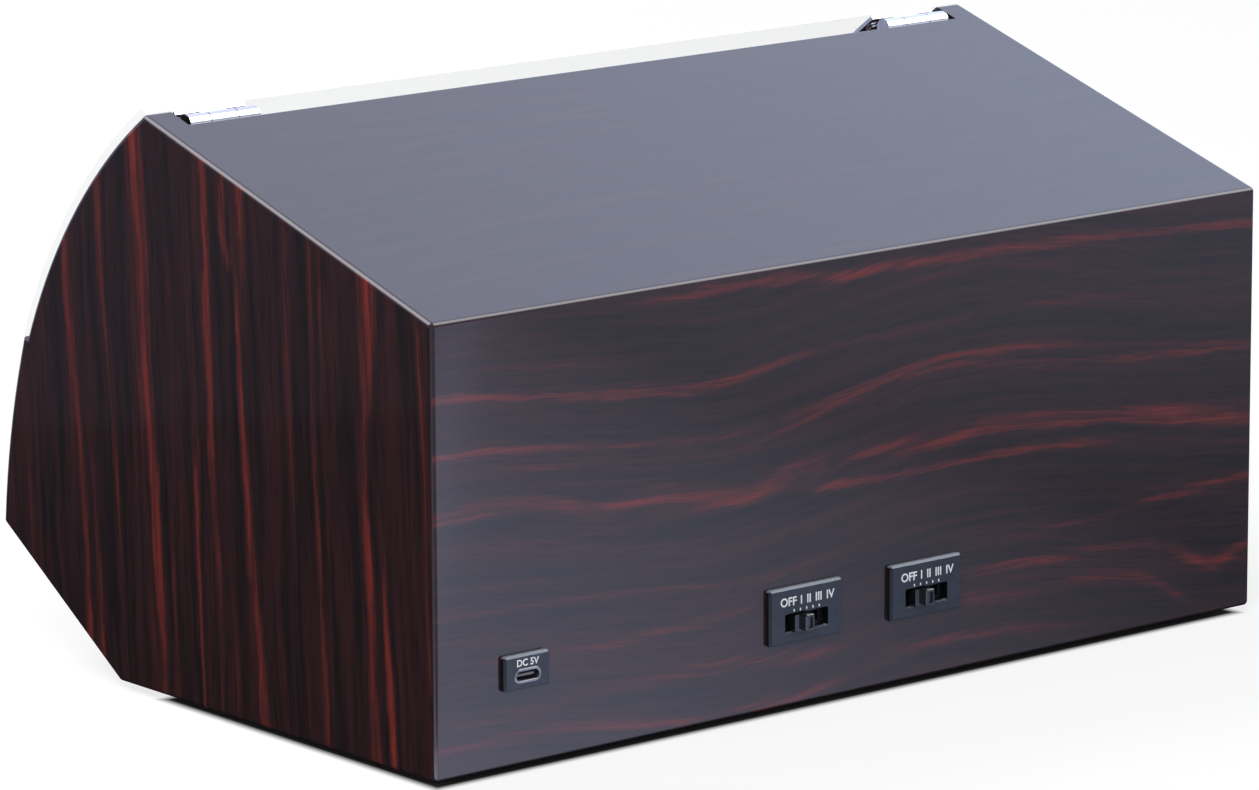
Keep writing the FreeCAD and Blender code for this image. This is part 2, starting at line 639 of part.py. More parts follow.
def cuff():
    """A soft oval cuff that a watch is strapped round, set between the end walls of a well."""
    middle = CUFF_PROUD - CUFF_HEIGHT / 2
    half_length = WELL_LENGTH / 2 - CUFF_SIDE_GAP
    half_width = WELL_WIDTH / 2 - CUFF_END_GAP
    end, crown, centre = V(0, half_length, middle), V(0, 0, CUFF_PROUD), V(0, 0, middle)
    oval = Part.Face(Part.Wire([Part.Ellipse(end, crown, centre).toShape()]))
    pad = oval.extrude(V(2 * half_width, 0, 0)).translate(V(-half_width, 0, 0))
    ends = [edge for edge in pad.Edges if edge.BoundBox.XLength < 1e-6]
    return pad.makeFillet(CUFF_HEIGHT / 10, ends)


def gear(teeth, thickness, phase):
    """A spur gear blank with involute teeth, the first one centred on the phase angle."""
    pitch = GEAR_MODULE * teeth / 2
    base = pitch * math.cos(math.radians(PRESSURE_ANGLE))
    root, tip = pitch - 1.25 * GEAR_MODULE, pitch + GEAR_MODULE
    pitch_spread = math.tan(math.radians(PRESSURE_ANGLE)) - math.radians(PRESSURE_ANGLE)
    half_tooth = math.pi / (2 * teeth) - GEAR_BACKLASH / (4 * pitch)
    flank = []
    for radius in (root, (root + pitch) / 2, pitch, tip):
        angle = math.acos(min(1.0, base / radius))
        flank.append((radius, half_tooth + pitch_spread - math.tan(angle) + angle))
    points = []
    for tooth in range(teeth):
        middle = math.radians(phase) + tooth * 2 * math.pi / teeth
        for radius, offset in flank:
            points.append(V(radius * math.cos(middle - offset), radius * math.sin(middle - offset), 0))
        for radius, offset in reversed(flank):
            points.append(V(radius * math.cos(middle + offset), radius * math.sin(middle + offset), 0))
    return Part.Face(Part.makePolygon(points + points[:1])).extrude(V(0, 0, thickness))


def motor_place(hand):
    """The pinion's place beside the rotor axis, towards the middle of the case."""
    angle = math.radians(MOTOR_ANGLE)
    return -hand * GEAR_DISTANCE * math.cos(angle), GEAR_DISTANCE * math.sin(angle)


def motor_bearing(hand):
    """The angle from the rotor axis to the pinion."""
    x, y = motor_place(hand)
    return math.degrees(math.atan2(y, x))


def driven_gear(hand):
    """The large gear on the rotor's hub, lightened by six holes."""
    wheel = gear(GEAR_TEETH, GEAR_THICKNESS, motor_bearing(hand))
    wheel = wheel.cut(cylinder(HUB_RADIUS + PRESS_CLEARANCE, 0.0, GEAR_THICKNESS))
    ring = (HUB_RADIUS + GEAR_MODULE * (GEAR_TEETH / 2 - 1.25)) / 2
    for step in range(GEAR_HOLES):
        angle = 2 * math.pi * step / GEAR_HOLES
        hole = cylinder(0.3 * HUB_RADIUS, 0.0, GEAR_THICKNESS, ring * math.cos(angle), ring * math.sin(angle))
        wheel = wheel.cut(hole)
    return wheel.translate(V(0, 0, GEAR_BACK))


def pinion(hand):
    """The small gear on the gearbox's output shaft, with a gap towards the large one."""
    x, y = motor_place(hand)
    wheel = gear(PINION_TEETH, GEAR_THICKNESS, motor_bearing(hand) + 180 + 180 / PINION_TEETH)
    wheel = wheel.cut(cylinder(OUTPUT_RADIUS + PRESS_CLEARANCE, 0.0, GEAR_THICKNESS))
    return wheel.translate(V(x, y, GEAR_BACK))


def output_shaft(hand):
    """The gearbox's shaft, with its inner end in the gearbox."""
    x, y = motor_place(hand)
    end = GEAR_BACK + GEAR_THICKNESS + GEAR_INSET
    return cylinder(OUTPUT_RADIUS, CHASSIS_BACK - GEARBOX_LENGTH / 2, end, x, y)


def rotor_shaft():
    """The steel shaft, pressed into the hub and grooved for its clip."""
    shaft = cylinder(SHAFT_RADIUS, CLIP_BACK - SHAFT_TAIL, HUB_TOP)
    groove = cylinder(2 * SHAFT_RADIUS, CLIP_BACK, CLIP_BACK + CLIP_THICKNESS)
    return shaft.cut(groove.cut(cylinder(SHAFT_RADIUS - GROOVE_DEPTH, CLIP_BACK, CLIP_BACK + CLIP_THICKNESS)))


def shaft_clip():
    """The open spring clip in the shaft's groove."""
    inner, outer = SHAFT_RADIUS - GROOVE_DEPTH + PRESS_CLEARANCE, SHAFT_RADIUS + CLIP_REACH
    ring = cylinder(outer, CLIP_BACK, CLIP_BACK + CLIP_THICKNESS)
    ring = ring.cut(cylinder(inner, CLIP_BACK, CLIP_BACK + CLIP_THICKNESS))
    mouth = Part.makeBox(1.6 * inner, outer, CLIP_THICKNESS, V(-0.8 * inner, -outer, CLIP_BACK))
    return ring.cut(mouth)


def shaft_bush():
    """The flanged bush that the shaft turns in."""
    bush = cylinder(SHAFT_RADIUS + BUSH_WALL, BUSH_END, BUSH_FRONT)
    bush = bush.fuse(cylinder(SHAFT_RADIUS + 2 * BUSH_WALL, CHASSIS_FRONT, BUSH_FRONT))
    return bush.cut(cylinder(SHAFT_RADIUS + RUN_CLEARANCE, BUSH_END, BUSH_FRONT)).removeSplitter()


def chassis(hand):
    """The spider that carries bush and gearmotor, on four hollow legs that stand on the deck."""
    x, y = motor_place(hand)
    half = math.sqrt(2) * LEG_PLACE
    arm_half = 1.2 * LEG_RADIUS
    rib_top = CHASSIS_FRONT + CHASSIS_THICKNESS
    gear_room = cylinder(GEAR_MODULE * GEAR_TEETH / 2 + GEAR_ROOM, CHASSIS_FRONT, rib_top)
    pinion_room = cylinder(GEARBOX_RADIUS + SEAT_RIM, CHASSIS_FRONT, rib_top, x, y)
    plate = cylinder(GEAR_DISTANCE, CHASSIS_BACK, CHASSIS_FRONT)
    solids = [cylinder(GEARBOX_RADIUS + SEAT_RIM, CHASSIS_BACK, CHASSIS_FRONT, x, y)]
    for turn in (45, 135):
        arm = Part.makeBox(2 * half, 2 * arm_half, CHASSIS_THICKNESS, V(-half, -arm_half, CHASSIS_BACK))
        rib = Part.makeBox(2 * half, RIB_WIDTH, 2 * CHASSIS_THICKNESS, V(-half, -RIB_WIDTH / 2, CHASSIS_BACK))
        solids.append(arm.rotate(V(0, 0, 0), V(0, 0, 1), turn))
        solids.append(rib.rotate(V(0, 0, 0), V(0, 0, 1), turn).cut([gear_room, pinion_room]))
    holes = [
        cylinder(SHAFT_RADIUS + BUSH_WALL + PRESS_CLEARANCE, CHASSIS_BACK, CHASSIS_FRONT),
        cylinder(2 * OUTPUT_RADIUS, CHASSIS_BACK, CHASSIS_FRONT, x, y),
    ]
    for leg_x, leg_y in leg_places():
        solids.append(cylinder(arm_half, CHASSIS_BACK, CHASSIS_FRONT, leg_x, leg_y))
        solids.append(cylinder(LEG_RADIUS, CHASSIS_FRONT, -DECK_THICKNESS, leg_x, leg_y))
        holes.append(cylinder(SCREW_RADIUS + RUN_CLEARANCE, CHASSIS_BACK, -DECK_THICKNESS, leg_x, leg_y))
    return plate.fuse(solids).cut(holes).removeSplitter()


def chassis_screws():
    """The screws through the chassis legs into the deck."""
    screws = []
    for hand in (-1, 1):
        for x, y in leg_places():
            screw = cylinder(2 * SCREW_RADIUS, CHASSIS_BACK - SCREW_RADIUS, CHASSIS_BACK, x, y)
            screw = screw.fuse(cylinder(SCREW_RADIUS, CHASSIS_BACK, SCREW_BITE - DECK_THICKNESS, x, y))
            screws.append(put(screw.removeSplitter(), drive_placement(hand)))
    return Part.makeCompound(screws)


def gearbox(hand):
    """The reduction gearbox, flat against the chassis, with a bore for its output shaft."""
    x, y = motor_place(hand)
    box = cylinder(GEARBOX_RADIUS, GEARBOX_BACK, CHASSIS_BACK, x, y)
    boss = cylinder(2 * OUTPUT_RADIUS - HOLE_CLEARANCE, CHASSIS_BACK, CHASSIS_FRONT, x, y)
    bore_end = CHASSIS_BACK - GEARBOX_LENGTH / 2 - HUB_GAP
    bore = cylinder(OUTPUT_RADIUS + RUN_CLEARANCE, bore_end, CHASSIS_FRONT, x, y)
    return box.fuse(boss).cut(bore).removeSplitter()


def motor_can(hand):
    """The motor behind the gearbox, with a boss round its rear bearing."""
    x, y = motor_place(hand)
    can = cylinder(MOTOR_RADIUS, MOTOR_BACK, GEARBOX_BACK, x, y)
    rim = [edge for edge in can.Edges if abs(edge.BoundBox.ZMax - MOTOR_BACK) < 1e-6]
    can = can.makeFillet(MOTOR_CORNER, rim)
    return can.fuse(cylinder(0.35 * MOTOR_RADIUS, MOTOR_BACK - MOTOR_BOSS, MOTOR_BACK, x, y)).removeSplitter()


def stadium(size, inside, outside):
    """A block with fully rounded ends at the power inlet."""
    return back_box(size, INLET_X, PORT_HEIGHT, inside, outside, 0.499 * size[1])


def inlet_plate():
    """The inlet's small cover plate on the back."""
    plate = soft_plate(INLET_PLATE, INLET_X, INLET_HEIGHT)
    clearance = 2 * RUN_CLEARANCE
    return plate.cut(stadium((PORT_SHELL[0] + clearance, PORT_SHELL[1] + clearance), 0.0, PLATE_PROUD))


def soft_plate(size, x, height):
    """A cover plate on the back with bevelled front edges."""
    plate = back_box(size, x, height, 0.0, PLATE_PROUD, PLATE_CORNER)
    front = [edge for edge in plate.Edges if edge.BoundBox.YMin > BACK_Y + PLATE_PROUD - 1e-6]
    return plate.makeChamfer(PLATE_BEVEL, front)


def inlet_shell():
    """The metal shell of the inlet."""
    hollow = PORT_SHELL[0] - 2 * PORT_WALL, PORT_SHELL[1] - 2 * PORT_WALL
    shell = stadium(PORT_SHELL, PLATE_PROUD - PORT_DEPTH, PLATE_PROUD - PORT_WALL)
    return shell.cut(stadium(hollow, PLATE_PROUD - PORT_DEPTH + PORT_WALL, PLATE_PROUD))


def inlet_tongue():
    """The contact tongue in the middle of the inlet."""
    size = 0.75 * PORT_SHELL[0], 0.22 * PORT_SHELL[1]
    root, tip = PLATE_PROUD - PORT_DEPTH + PORT_WALL, PLATE_PROUD - 4 * PORT_WALL
    return back_box(size, INLET_X, PORT_HEIGHT, root, tip, SMALL_CORNER)


def inlet_board():
    """The inlet's circuit board, under the shell and against the plate."""
    width, length, thickness = PORT_BOARD
    top = PORT_HEIGHT - PORT_SHELL[1] / 2
    return back_box((width, thickness), INLET_X, top - thickness / 2, -length, 0.0, SMALL_CORNER)


def switch_plate(hand):
    """A switch's cover plate, with the slot that its knob slides in."""
    x = hand * SWITCH_SPREAD
    plate = soft_plate(SWITCH_PLATE, x, SWITCH_HEIGHT)
    slot = back_box((SLOT_LENGTH, SLOT_HEIGHT), x, SWITCH_HEIGHT - SLOT_DROP, 0.0, PLATE_PROUD, SLIDER_CORNER)
    return plate.cut(slot)


def knob_x(hand):
    """Where a switch knob rests: one step from the right-hand end of its slot."""
    return hand * SWITCH_SPREAD + SWITCH_PITCH * (SWITCH_STEPS / 2 - 1)


def stem_size():
    """Width and height of the knob's stem."""
    return 0.5 * SLIDER[0], 0.5 * SLIDER[1]


def switch_knob(hand):
    """A knob with a raised, dished grip on its left half and a stem into the switch."""
    x, height = knob_x(hand), SWITCH_HEIGHT - SLOT_DROP
    low = PLATE_PROUD + 0.4 * SLIDER_PROUD
    knob = back_box(SLIDER, x, height, -KNOB_GAP, low, SLIDER_CORNER)
    ridge_size = 0.55 * SLIDER[0], SLIDER[1]
    ridge = back_box(ridge_size, x - 0.225 * SLIDER[0], height, 0.0, BACK_PROUD, SLIDER_CORNER)
    front = [edge for edge in ridge.Edges if edge.BoundBox.YMin > BACK_Y + BACK_PROUD - 1e-6]
    ridge = ridge.makeFillet(KNOB_EASING, front)
    dish_size = ridge_size[0] - 2 * GRIP_RIM, ridge_size[1] - 2 * GRIP_RIM
    dish_floor = BACK_PROUD - GRIP_DEPTH
    dish = back_box(dish_size, x - 0.225 * SLIDER[0], height, dish_floor, BACK_PROUD, SMALL_CORNER)
    stem = back_box(stem_size(), x, height, -STEM_DEPTH, 0.0, SMALL_CORNER)
    return knob.fuse([ridge.cut(dish), stem]).removeSplitter()


def switch_body(hand):
    """The slide switch in the back panel's window, with a channel for the stem."""
    x, height = hand * SWITCH_SPREAD, SWITCH_HEIGHT - SLOT_DROP
    width, tall = stem_size()
    channel = width + SLOT_LENGTH - SLIDER[0], tall + 2 * KNOB_GAP
    body = back_box(SWITCH_BODY, x, height, -PANEL_THICKNESS, -SWITCH_SUNK, WINDOW_CORNER)
    return body.cut(back_box(channel, x, height, -STEM_DEPTH - SWITCH_SUNK, -SWITCH_SUNK, SMALL_CORNER))


def board_height():
    """Height of the control board's middle."""
    return SWITCH_HEIGHT + BOARD[1] / 2 - SWITCH_PLATE[1]


def control_board():
    """The circuit board behind the switches, flat on the inside of the back panel."""
    behind = -PANEL_THICKNESS
    return back_box(BOARD[:2], 0.0, board_height(), behind - BOARD[2], behind, BOARD_CORNER)


def on_board(size, x, rise):
    """A component on the inner face of the control board."""
    face = -PANEL_THICKNESS - BOARD[2]
    return back_box(size[:2], x, board_height() + rise, face - size[2], face, SMALL_CORNER)


def board_chips():
    """The controller and the two motor drivers."""
    chips = [on_board(MAIN_CHIP, 0.0, 0.0)]
    chips += [on_board(DRIVER_CHIP, hand * BOARD[0] / 5, 0.0) for hand in (-1, 1)]
    return Part.makeCompound(chips)


def plug_places():
    """X of the left motor's, the right motor's and the inlet's plug."""
    return [-0.32 * BOARD[0], 0.22 * BOARD[0], 0.42 * BOARD[0]]


def board_connectors():
    """The plugs for both motors and the inlet."""
    return Part.makeCompound([on_board(PLUG, x, PLUG_RISE) for x in plug_places()])


def lead(points):
    """A round lead along straight runs joined by tangent arcs."""
    edges, start = [], points[0]
    for before, corner, after in zip(points, points[1:], points[2:]):
        back, on = before - corner, after - corner
        reach = 0.45 * min(back.Length, on.Length)
        entry = corner + V(back).normalize() * reach
        leave = corner + V(on).normalize() * reach
        half_turn = (math.pi - back.getAngle(on)) / 2
        radius = reach / math.tan(half_turn)
        inward = (V(back).normalize() + V(on).normalize()).normalize()
        over = corner + inward * (radius / math.cos(half_turn) - radius)
        edges.append(Part.LineSegment(start, entry).toShape())
        edges.append(Part.Arc(entry, over, leave).toShape())
        start = leave
    edges.append(Part.LineSegment(start, points[-1]).toShape())
    section = Part.Wire([Part.Circle(points[0], points[1] - points[0], LEAD_RADIUS).toShape()])
    return Part.Wire(edges).makePipeShell([section], True, False)


def plug_mouth(index):
    """The middle of a plug's inner face."""
    face = PANEL_THICKNESS + BOARD[2] + PLUG[2]
    return side((face, board_height() + PLUG_RISE), plug_places()[index])


def motor_lead(hand):
    """The lead from a motor's rear end up to its plug."""
    x, y = motor_place(hand)
    motor = drive_placement(hand)
    start = motor.multVec(V(x, y + 0.65 * MOTOR_RADIUS, MOTOR_BACK))
    out = motor.multVec(V(x, y + 0.65 * MOTOR_RADIUS, MOTOR_BACK - LEAD_RUN))
    plug = plug_mouth(0 if hand < 0 else 1)
    before_plug = plug + V(0, -LEAD_RUN, 0)
    return lead([start, out, before_plug, plug])


def inlet_lead():
    """The lead from the inlet's board to its plug."""
    width, length, thickness = PORT_BOARD
    start = side((length, PORT_HEIGHT - PORT_SHELL[1] / 2 - thickness / 2), INLET_X)
    plug = plug_mouth(2)
    ahead = V(0, -LEAD_RUN, 0)
    middle = (start + plug) * 0.5 + 2 * ahead
    return lead([start, start + ahead, middle, plug + ahead, plug])


def drive_parts(hand, name):
    """One drive: rotor, gears, shaft, bush, chassis and gearmotor."""
    local = {
        "rotor": rotor(),
        "driven_gear": driven_gear(hand),
        "rotor_shaft": rotor_shaft(),
        "shaft_clip": shaft_clip(),
        "shaft_bush": shaft_bush(),
        "chassis": chassis(hand),
        "gearbox": gearbox(hand),
        "motor_can": motor_can(hand),
        "output_shaft": output_shaft(hand),
        "pinion": pinion(hand),
    }
    parts = {f"{part}_{name}": put(shape, drive_placement(hand)) for part, shape in local.items()}
    for place, offset in (("inner", -hand * WELL_X), ("outer", hand * WELL_X)):
        parts[f"cuff_{name}_{place}"] = put(cuff().translate(V(offset, 0, 0)), drive_placement(hand))
    return parts


def build():
    """All pieces by node name."""
    parts = {
        "back_panel": back_panel(),
        "top_panel": top_panel(),
        "front_panel": front_panel(),
        "chin_panel": chin_panel(),
        "bottom_panel": bottom_panel(),
        "bottom_screws": bottom_screws(),
        "corner_blocks": corner_blocks(),
        "rubber_feet": rubber_feet(),
        "lid": lid(),
        "lid_knob": lid_knob(),
        "lid_knob_screw": lid_knob_screw(),
        "hinge_fixed_leaves": hinge_fixed_leaves(),
        "hinge_moving_leaves": hinge_moving_leaves(),
        "hinge_pins": hinge_pins(),
        "deck_panel": deck_panel(),
        "deck_cleats": deck_cleats(),
        "chassis_screws": chassis_screws(),
        "inlet_plate": inlet_plate(),
        "inlet_shell": inlet_shell(),
        "inlet_tongue": inlet_tongue(),
        "inlet_board": inlet_board(),
        "inlet_lead": inlet_lead(),
        "control_board": control_board(),
        "board_chips": board_chips(),
        "board_connectors": board_connectors(),
    }
    for hand, name in ((-1, "left"), (1, "right")):
        parts[f"{name}_cheek"] = cheek(hand)
        parts[f"switch_plate_{name}"] = switch_plate(hand)
        parts[f"switch_body_{name}"] = switch_body(hand)
        parts[f"switch_knob_{name}"] = switch_knob(hand)
        parts[f"motor_lead_{name}"] = motor_lead(hand)
        parts.update(drive_parts(hand, name))
    return parts


os.makedirs("parts", exist_ok=True)
for node, shape in build().items():
    shape.exportStep(f"parts/{node}.step")
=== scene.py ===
import json
import math

import bpy
from mathutils import Matrix, Vector


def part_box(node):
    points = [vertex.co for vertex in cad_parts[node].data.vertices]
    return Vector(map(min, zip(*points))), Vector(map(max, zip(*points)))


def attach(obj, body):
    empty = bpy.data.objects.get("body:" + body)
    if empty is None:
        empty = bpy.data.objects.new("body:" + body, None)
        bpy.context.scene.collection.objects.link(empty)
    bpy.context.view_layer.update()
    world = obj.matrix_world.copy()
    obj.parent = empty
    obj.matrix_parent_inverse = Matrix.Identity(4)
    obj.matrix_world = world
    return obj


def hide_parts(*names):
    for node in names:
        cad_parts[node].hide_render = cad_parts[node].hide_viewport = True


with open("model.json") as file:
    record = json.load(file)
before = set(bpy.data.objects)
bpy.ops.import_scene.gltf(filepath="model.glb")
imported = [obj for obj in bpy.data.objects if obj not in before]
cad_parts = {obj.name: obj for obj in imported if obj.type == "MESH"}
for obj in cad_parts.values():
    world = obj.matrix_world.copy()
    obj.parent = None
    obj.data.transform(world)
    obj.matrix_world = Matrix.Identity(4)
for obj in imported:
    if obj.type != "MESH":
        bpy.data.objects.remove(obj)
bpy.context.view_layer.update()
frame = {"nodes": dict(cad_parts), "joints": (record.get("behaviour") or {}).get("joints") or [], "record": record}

# Looks of the watch winder box. Lengths are in metres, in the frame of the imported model.
MM = 0.001

# Camera, at the photograph's place
IMAGE_WIDTH = 1259
FOCAL_PIXELS = 6743.8
SENSOR_WIDTH = 36.0
CAMERA_PLACE = Vector((1.321934, 1.588017, 0.519586))
CAMERA_TARGET = Vector((0.01682, 0.016, 0.08194))
CAMERA_ROLL = math.radians(-0.25)

# Case faces that the veneer and the floor's light are set out from
BACK_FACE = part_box("back_panel")[1].y
CASE_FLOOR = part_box("back_panel")[0].z
CASE_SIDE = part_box("right_cheek")[1].x
CASE_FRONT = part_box("right_cheek")[0].y
BOTTOM_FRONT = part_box("bottom_panel")[0].y
REAR_CORNER = (CASE_SIDE, BACK_FACE)
FRONT_CORNER = (CASE_SIDE, CASE_FRONT)

# Veneer: its main streaks as drawn lines. Each has a width and points, and a point is a place along the
# grain, a place across it, both in mm, and a strength.
# On the back they run from the right cheek to the left one, at a height over the case's lower edge.
BACK_STREAKS = (
    (1.7, ((0, 131, 0.35), (75, 131, 0.3), (128, 131.5, 1), (155, 129.8, 1), (185, 129.5, 1),
           (225, 129, 0.9), (262, 127.5, 0.6), (325, 124.5, 0.6))),
    (1.6, ((0, 113.3, 0.8), (20, 111.5, 0.9), (50, 107.5, 0.9), (82, 104, 1), (110, 103, 0.9),
           (130, 106, 0.6), (155, 108.3, 0.5), (200, 109.5, 0.4), (250, 110, 0.3), (300, 106.5, 0.35))),
    (1.5, ((0, 97, 0.7), (25, 95.8, 0.8), (62, 91.5, 0.6), (88, 89, 0.5), (112, 87.5, 0.4),
           (150, 92, 0.5), (180, 97, 0.5), (212, 98.8, 0.7), (250, 95.8, 0.6), (275, 92, 0.5),
           (325, 87, 0.5))),
    (1.4, ((0, 88.8, 0.35), (50, 87, 0.4), (88, 83.3, 0.4), (120, 82.5, 0.45), (150, 89.5, 0.4),
           (175, 94.5, 0.5), (200, 95.8, 0.5), (225, 93.3, 0.5), (262, 89, 0.6), (330, 84.5, 0.5))),
    (2.7, ((0, 77.5, 0.7), (32, 78.3, 0.8), (50, 74.5, 0.8), (58, 71.5, 0.85), (82, 72, 0.9),
           (108, 69, 1), (120, 68.3, 1), (132, 70.8, 0.9), (150, 73.3, 0.6), (157, 74.5, 0),
           (330, 74.5, 0))),
    (2.6, ((0, 75, 0), (151, 75, 0), (158, 75, 0.5), (200, 73.3, 0.7), (218, 75, 0.7), (250, 72.5, 0.8),
           (275, 70, 0.8), (300, 65.8, 1), (322, 62, 1), (330, 61.5, 0.9))),
    (1.5, ((0, 66.5, 0.3), (62, 65, 0.35), (80, 64.5, 0.2), (138, 65.5, 0), (148, 65.8, 0.9),
           (175, 65, 0.9), (200, 65.3, 0.8), (235, 65, 0.9), (265, 63.3, 0.3), (330, 62, 0))),
    (1.6, ((0, 48.3, 0.5), (38, 47, 0.5), (75, 45, 0.45), (100, 42, 0.5), (125, 41.5, 0.5),
           (150, 44.5, 0.3), (200, 47, 0.35), (240, 46, 0.2), (330, 44, 0))),
    (1.6, ((0, 40, 0), (200, 40, 0), (215, 39.5, 0.4), (250, 38.3, 0.5), (288, 40.8, 0.6),
           (325, 42.5, 0.6))),
    (2.2, ((0, 31, 0), (190, 30, 0), (205, 29.5, 0.3), (235, 29.5, 0.7), (262, 28.3, 0.7),
           (288, 25.8, 0.8), (300, 22, 0.8), (312, 17, 0.7), (322, 19, 0.8), (330, 21, 0.8))),
    (1.8, ((0, 35, 0.35), (50, 31.5, 0.55), (88, 31.5, 0.65), (120, 32.5, 0.6), (140, 33, 0),
           (330, 33, 0))),
    (2.2, ((0, 20, 0), (195, 21, 0), (210, 20.8, 0.6), (238, 19.5, 0.6), (262, 19, 0.6), (288, 14.5, 0.7),
           (300, 7, 0.5), (312, 2, 0.4), (330, 0, 0.2))),
    (2.8, ((0, 16, 0.35), (75, 17, 0.55), (112, 17, 0.7), (150, 14.5, 0.5), (170, 14, 0), (330, 14, 0))),
    (2.2, ((0, 9.5, 0.6), (50, 8.3, 0.6), (88, 3.3, 0.6), (112, 3.3, 0.4), (125, 2, 0.7), (150, 3.3, 0.6),
           (170, 5, 0), (330, 5, 0))),
    (1.7, ((0, 10, 0), (165, 11, 0), (180, 10.8, 0.5), (225, 9.5, 0.6), (250, 7, 0.6), (275, 4.5, 0.5),
           (300, 0, 0.2), (330, 0, 0))),
)
# On the cheeks they run up from the case's lower edge, at a distance from the back.
CHEEK_STREAKS = (
    (2.4, ((0, 133, 0.5), (37, 134.6, 0.6), (67, 136, 0.8), (97, 139, 1), (117, 139.6, 1), (137, 140, 1),
           (171, 143, 1))),
    (1.6, ((0, 102.6, 0.6), (25, 103, 0.7), (67, 106, 0.8), (101, 107, 0.9), (127, 108.4, 0.9),
           (137, 108, 0.8), (165, 109, 0.7))),
    (1.6, ((0, 97, 0), (135, 97, 0), (139, 97, 0.7), (147, 99, 0.8), (160, 99, 0.8))),
    (2.0, ((0, 82, 1), (27, 84.6, 1), (53, 87, 0.9), (87, 90, 0.8), (117, 92, 0.65), (137, 91, 0.65),
           (161, 91.4, 0.65))),
    (1.4, ((0, 112, 0.7), (37, 114, 0.8), (67, 114.4, 0.9), (87, 114, 0.8), (111, 115, 0.4),
           (118, 115, 0), (170, 115, 0))),
    (2.8, ((0, 27, 0.7), (33, 30, 0.75), (65, 31, 0.75), (87, 33, 0.6), (107, 31, 0.8), (127, 29, 1),
           (145, 30, 1))),
    (1.7, ((0, 19, 0.8), (37, 22, 0.8), (65, 24, 0.6), (85, 26, 0.3), (92, 26, 0), (170, 26, 0))),
    (1.8, ((0, 2, 0.3), (87, 3.4, 0.3), (111, 5, 0.5), (131, 7, 0.6), (140, 8, 0.5))),
    (2.0, ((0, 171, 0.7), (25, 172, 0.7), (47, 173, 0.6), (71, 175, 0.6), (97, 178, 0.6),
           (127, 181, 0.6))),
    (2.0, ((0, 152, 0.2), (57, 155, 0.35), (87, 158, 0.45), (117, 161.4, 0.5), (147, 163, 0.45))),
    (1.4, ((0, 51, 0.5), (37, 53, 0.5), (67, 55, 0.45), (97, 57, 0.4), (147, 57, 0.3))),
    (1.3, ((0, 48, 0.2), (47, 49, 0.4), (77, 50, 0.4), (110, 52, 0.35), (150, 52, 0.2))),
    (3.4, ((0, 67, 0.1), (77, 68, 0.3), (117, 69, 0.35), (150, 69, 0.35))),
    (1.5, ((0, 126, 0.4), (47, 126.6, 0.4), (87, 127, 0.35), (110, 128, 0.25), (165, 130, 0.2))),
    (1.5, ((0, 164, 0.5), (37, 166, 0.4), (77, 169, 0.35), (107, 170, 0.3), (130, 171, 0.2))),
)
# How far a streak fades, as a share of its width: without strength, the gain at full strength, the even core
STREAK_LEAST = 0.8
STREAK_GAIN = 1.2
STREAK_CORE = 0.05
# The span in mm that places across are kept as shares of, and the length of the drawn lines
STREAK_SPAN = 200.0
BACK_LENGTH = 330.0
CHEEK_LENGTH = 180.0
# The height in mm where level grain turns back, at the top's rear edge, the streak that its fine lines
# follow, and the lean of the cheeks' fine lines
BACK_SPAN = 135.3
FLOW_LINE = 2
CHEEK_TILT = 0.055
# The normal's share from which a face counts as a cheek, or as facing up
FACES_SIDE = 0.7
FACES_UP = 0.5
# Patterns of the grain, as scales per mm along it and across it
WAVE_SCALE = (0.02, 0.05)
FRAY_SCALE = (0.03, 0.9)
RIPPLE_SCALE = (0.09, 0.25)
LINE_SCALE = (0.009, 0.33)
PATCH_SCALE = (0.012, 0.09)
BAND_SCALE = (0.007, 0.12)
PORE_SCALE = (0.06, 1.5)
# How far waves, frayed edges and ripples shift the grain, in mm from end to end
WAVE_SHIFT = 4.0
FRAY_SHIFT = 2.4
RIPPLE_SHIFT = 3.0
# How much red the drawn streaks and the fine lines give, and how much of it each face shows
BOLD_SHARE = 0.8
FAINT_SHARE = 0.42
BACK_DEPTH = 0.6
CHEEK_DEPTH = 0.64
TOP_DEPTH = 0.22

# Other finishes: how much larger clouds are than grain, and the part of grain and of pile in the shade
CLOUD_SIZE = 6
GRAIN_SHARE = 0.4
PILE_SHARE = 0.2
# The lid's gloss: seen square on, its gain at a grazing view and how fast that comes, and its share inside
GLOSS_LEAST = 0.04
GLOSS_GAIN = 0.22
GLOSS_POWER = 4.0
GLOSS_INSIDE = 0.2

# Labels, from the middle of their plate, with X to the right as they are read; the words' places are in mm
PRINT_THICKNESS = 0.05 * MM
PRINT_BOLDNESS = 0.02
STEP_WORDS = (("OFF", -7.2), ("I", -2.1), ("II", 0.9), ("III", 4.8), ("IV", 9.4))
STEP_ROW = 4.3 * MM
STEP_SIZE = 3.7 * MM
TICK_STEPS = range(-2, 3)
TICK_PITCH = 2.5 * MM
TICK_ROW = 1.55 * MM
TICK_WIDTH = 0.45 * MM
TICK_HEIGHT = 0.8 * MM
SUPPLY_WORDS = "DC 5V"
SUPPLY_ROW = 2.75 * MM
SUPPLY_SIZE = 2.9 * MM

# Rolled rim of the power port
RIM_RADIUS = 0.42 * MM
RIM_OUT = 0.4 * RIM_RADIUS
RIM_FLATNESS = 0.6

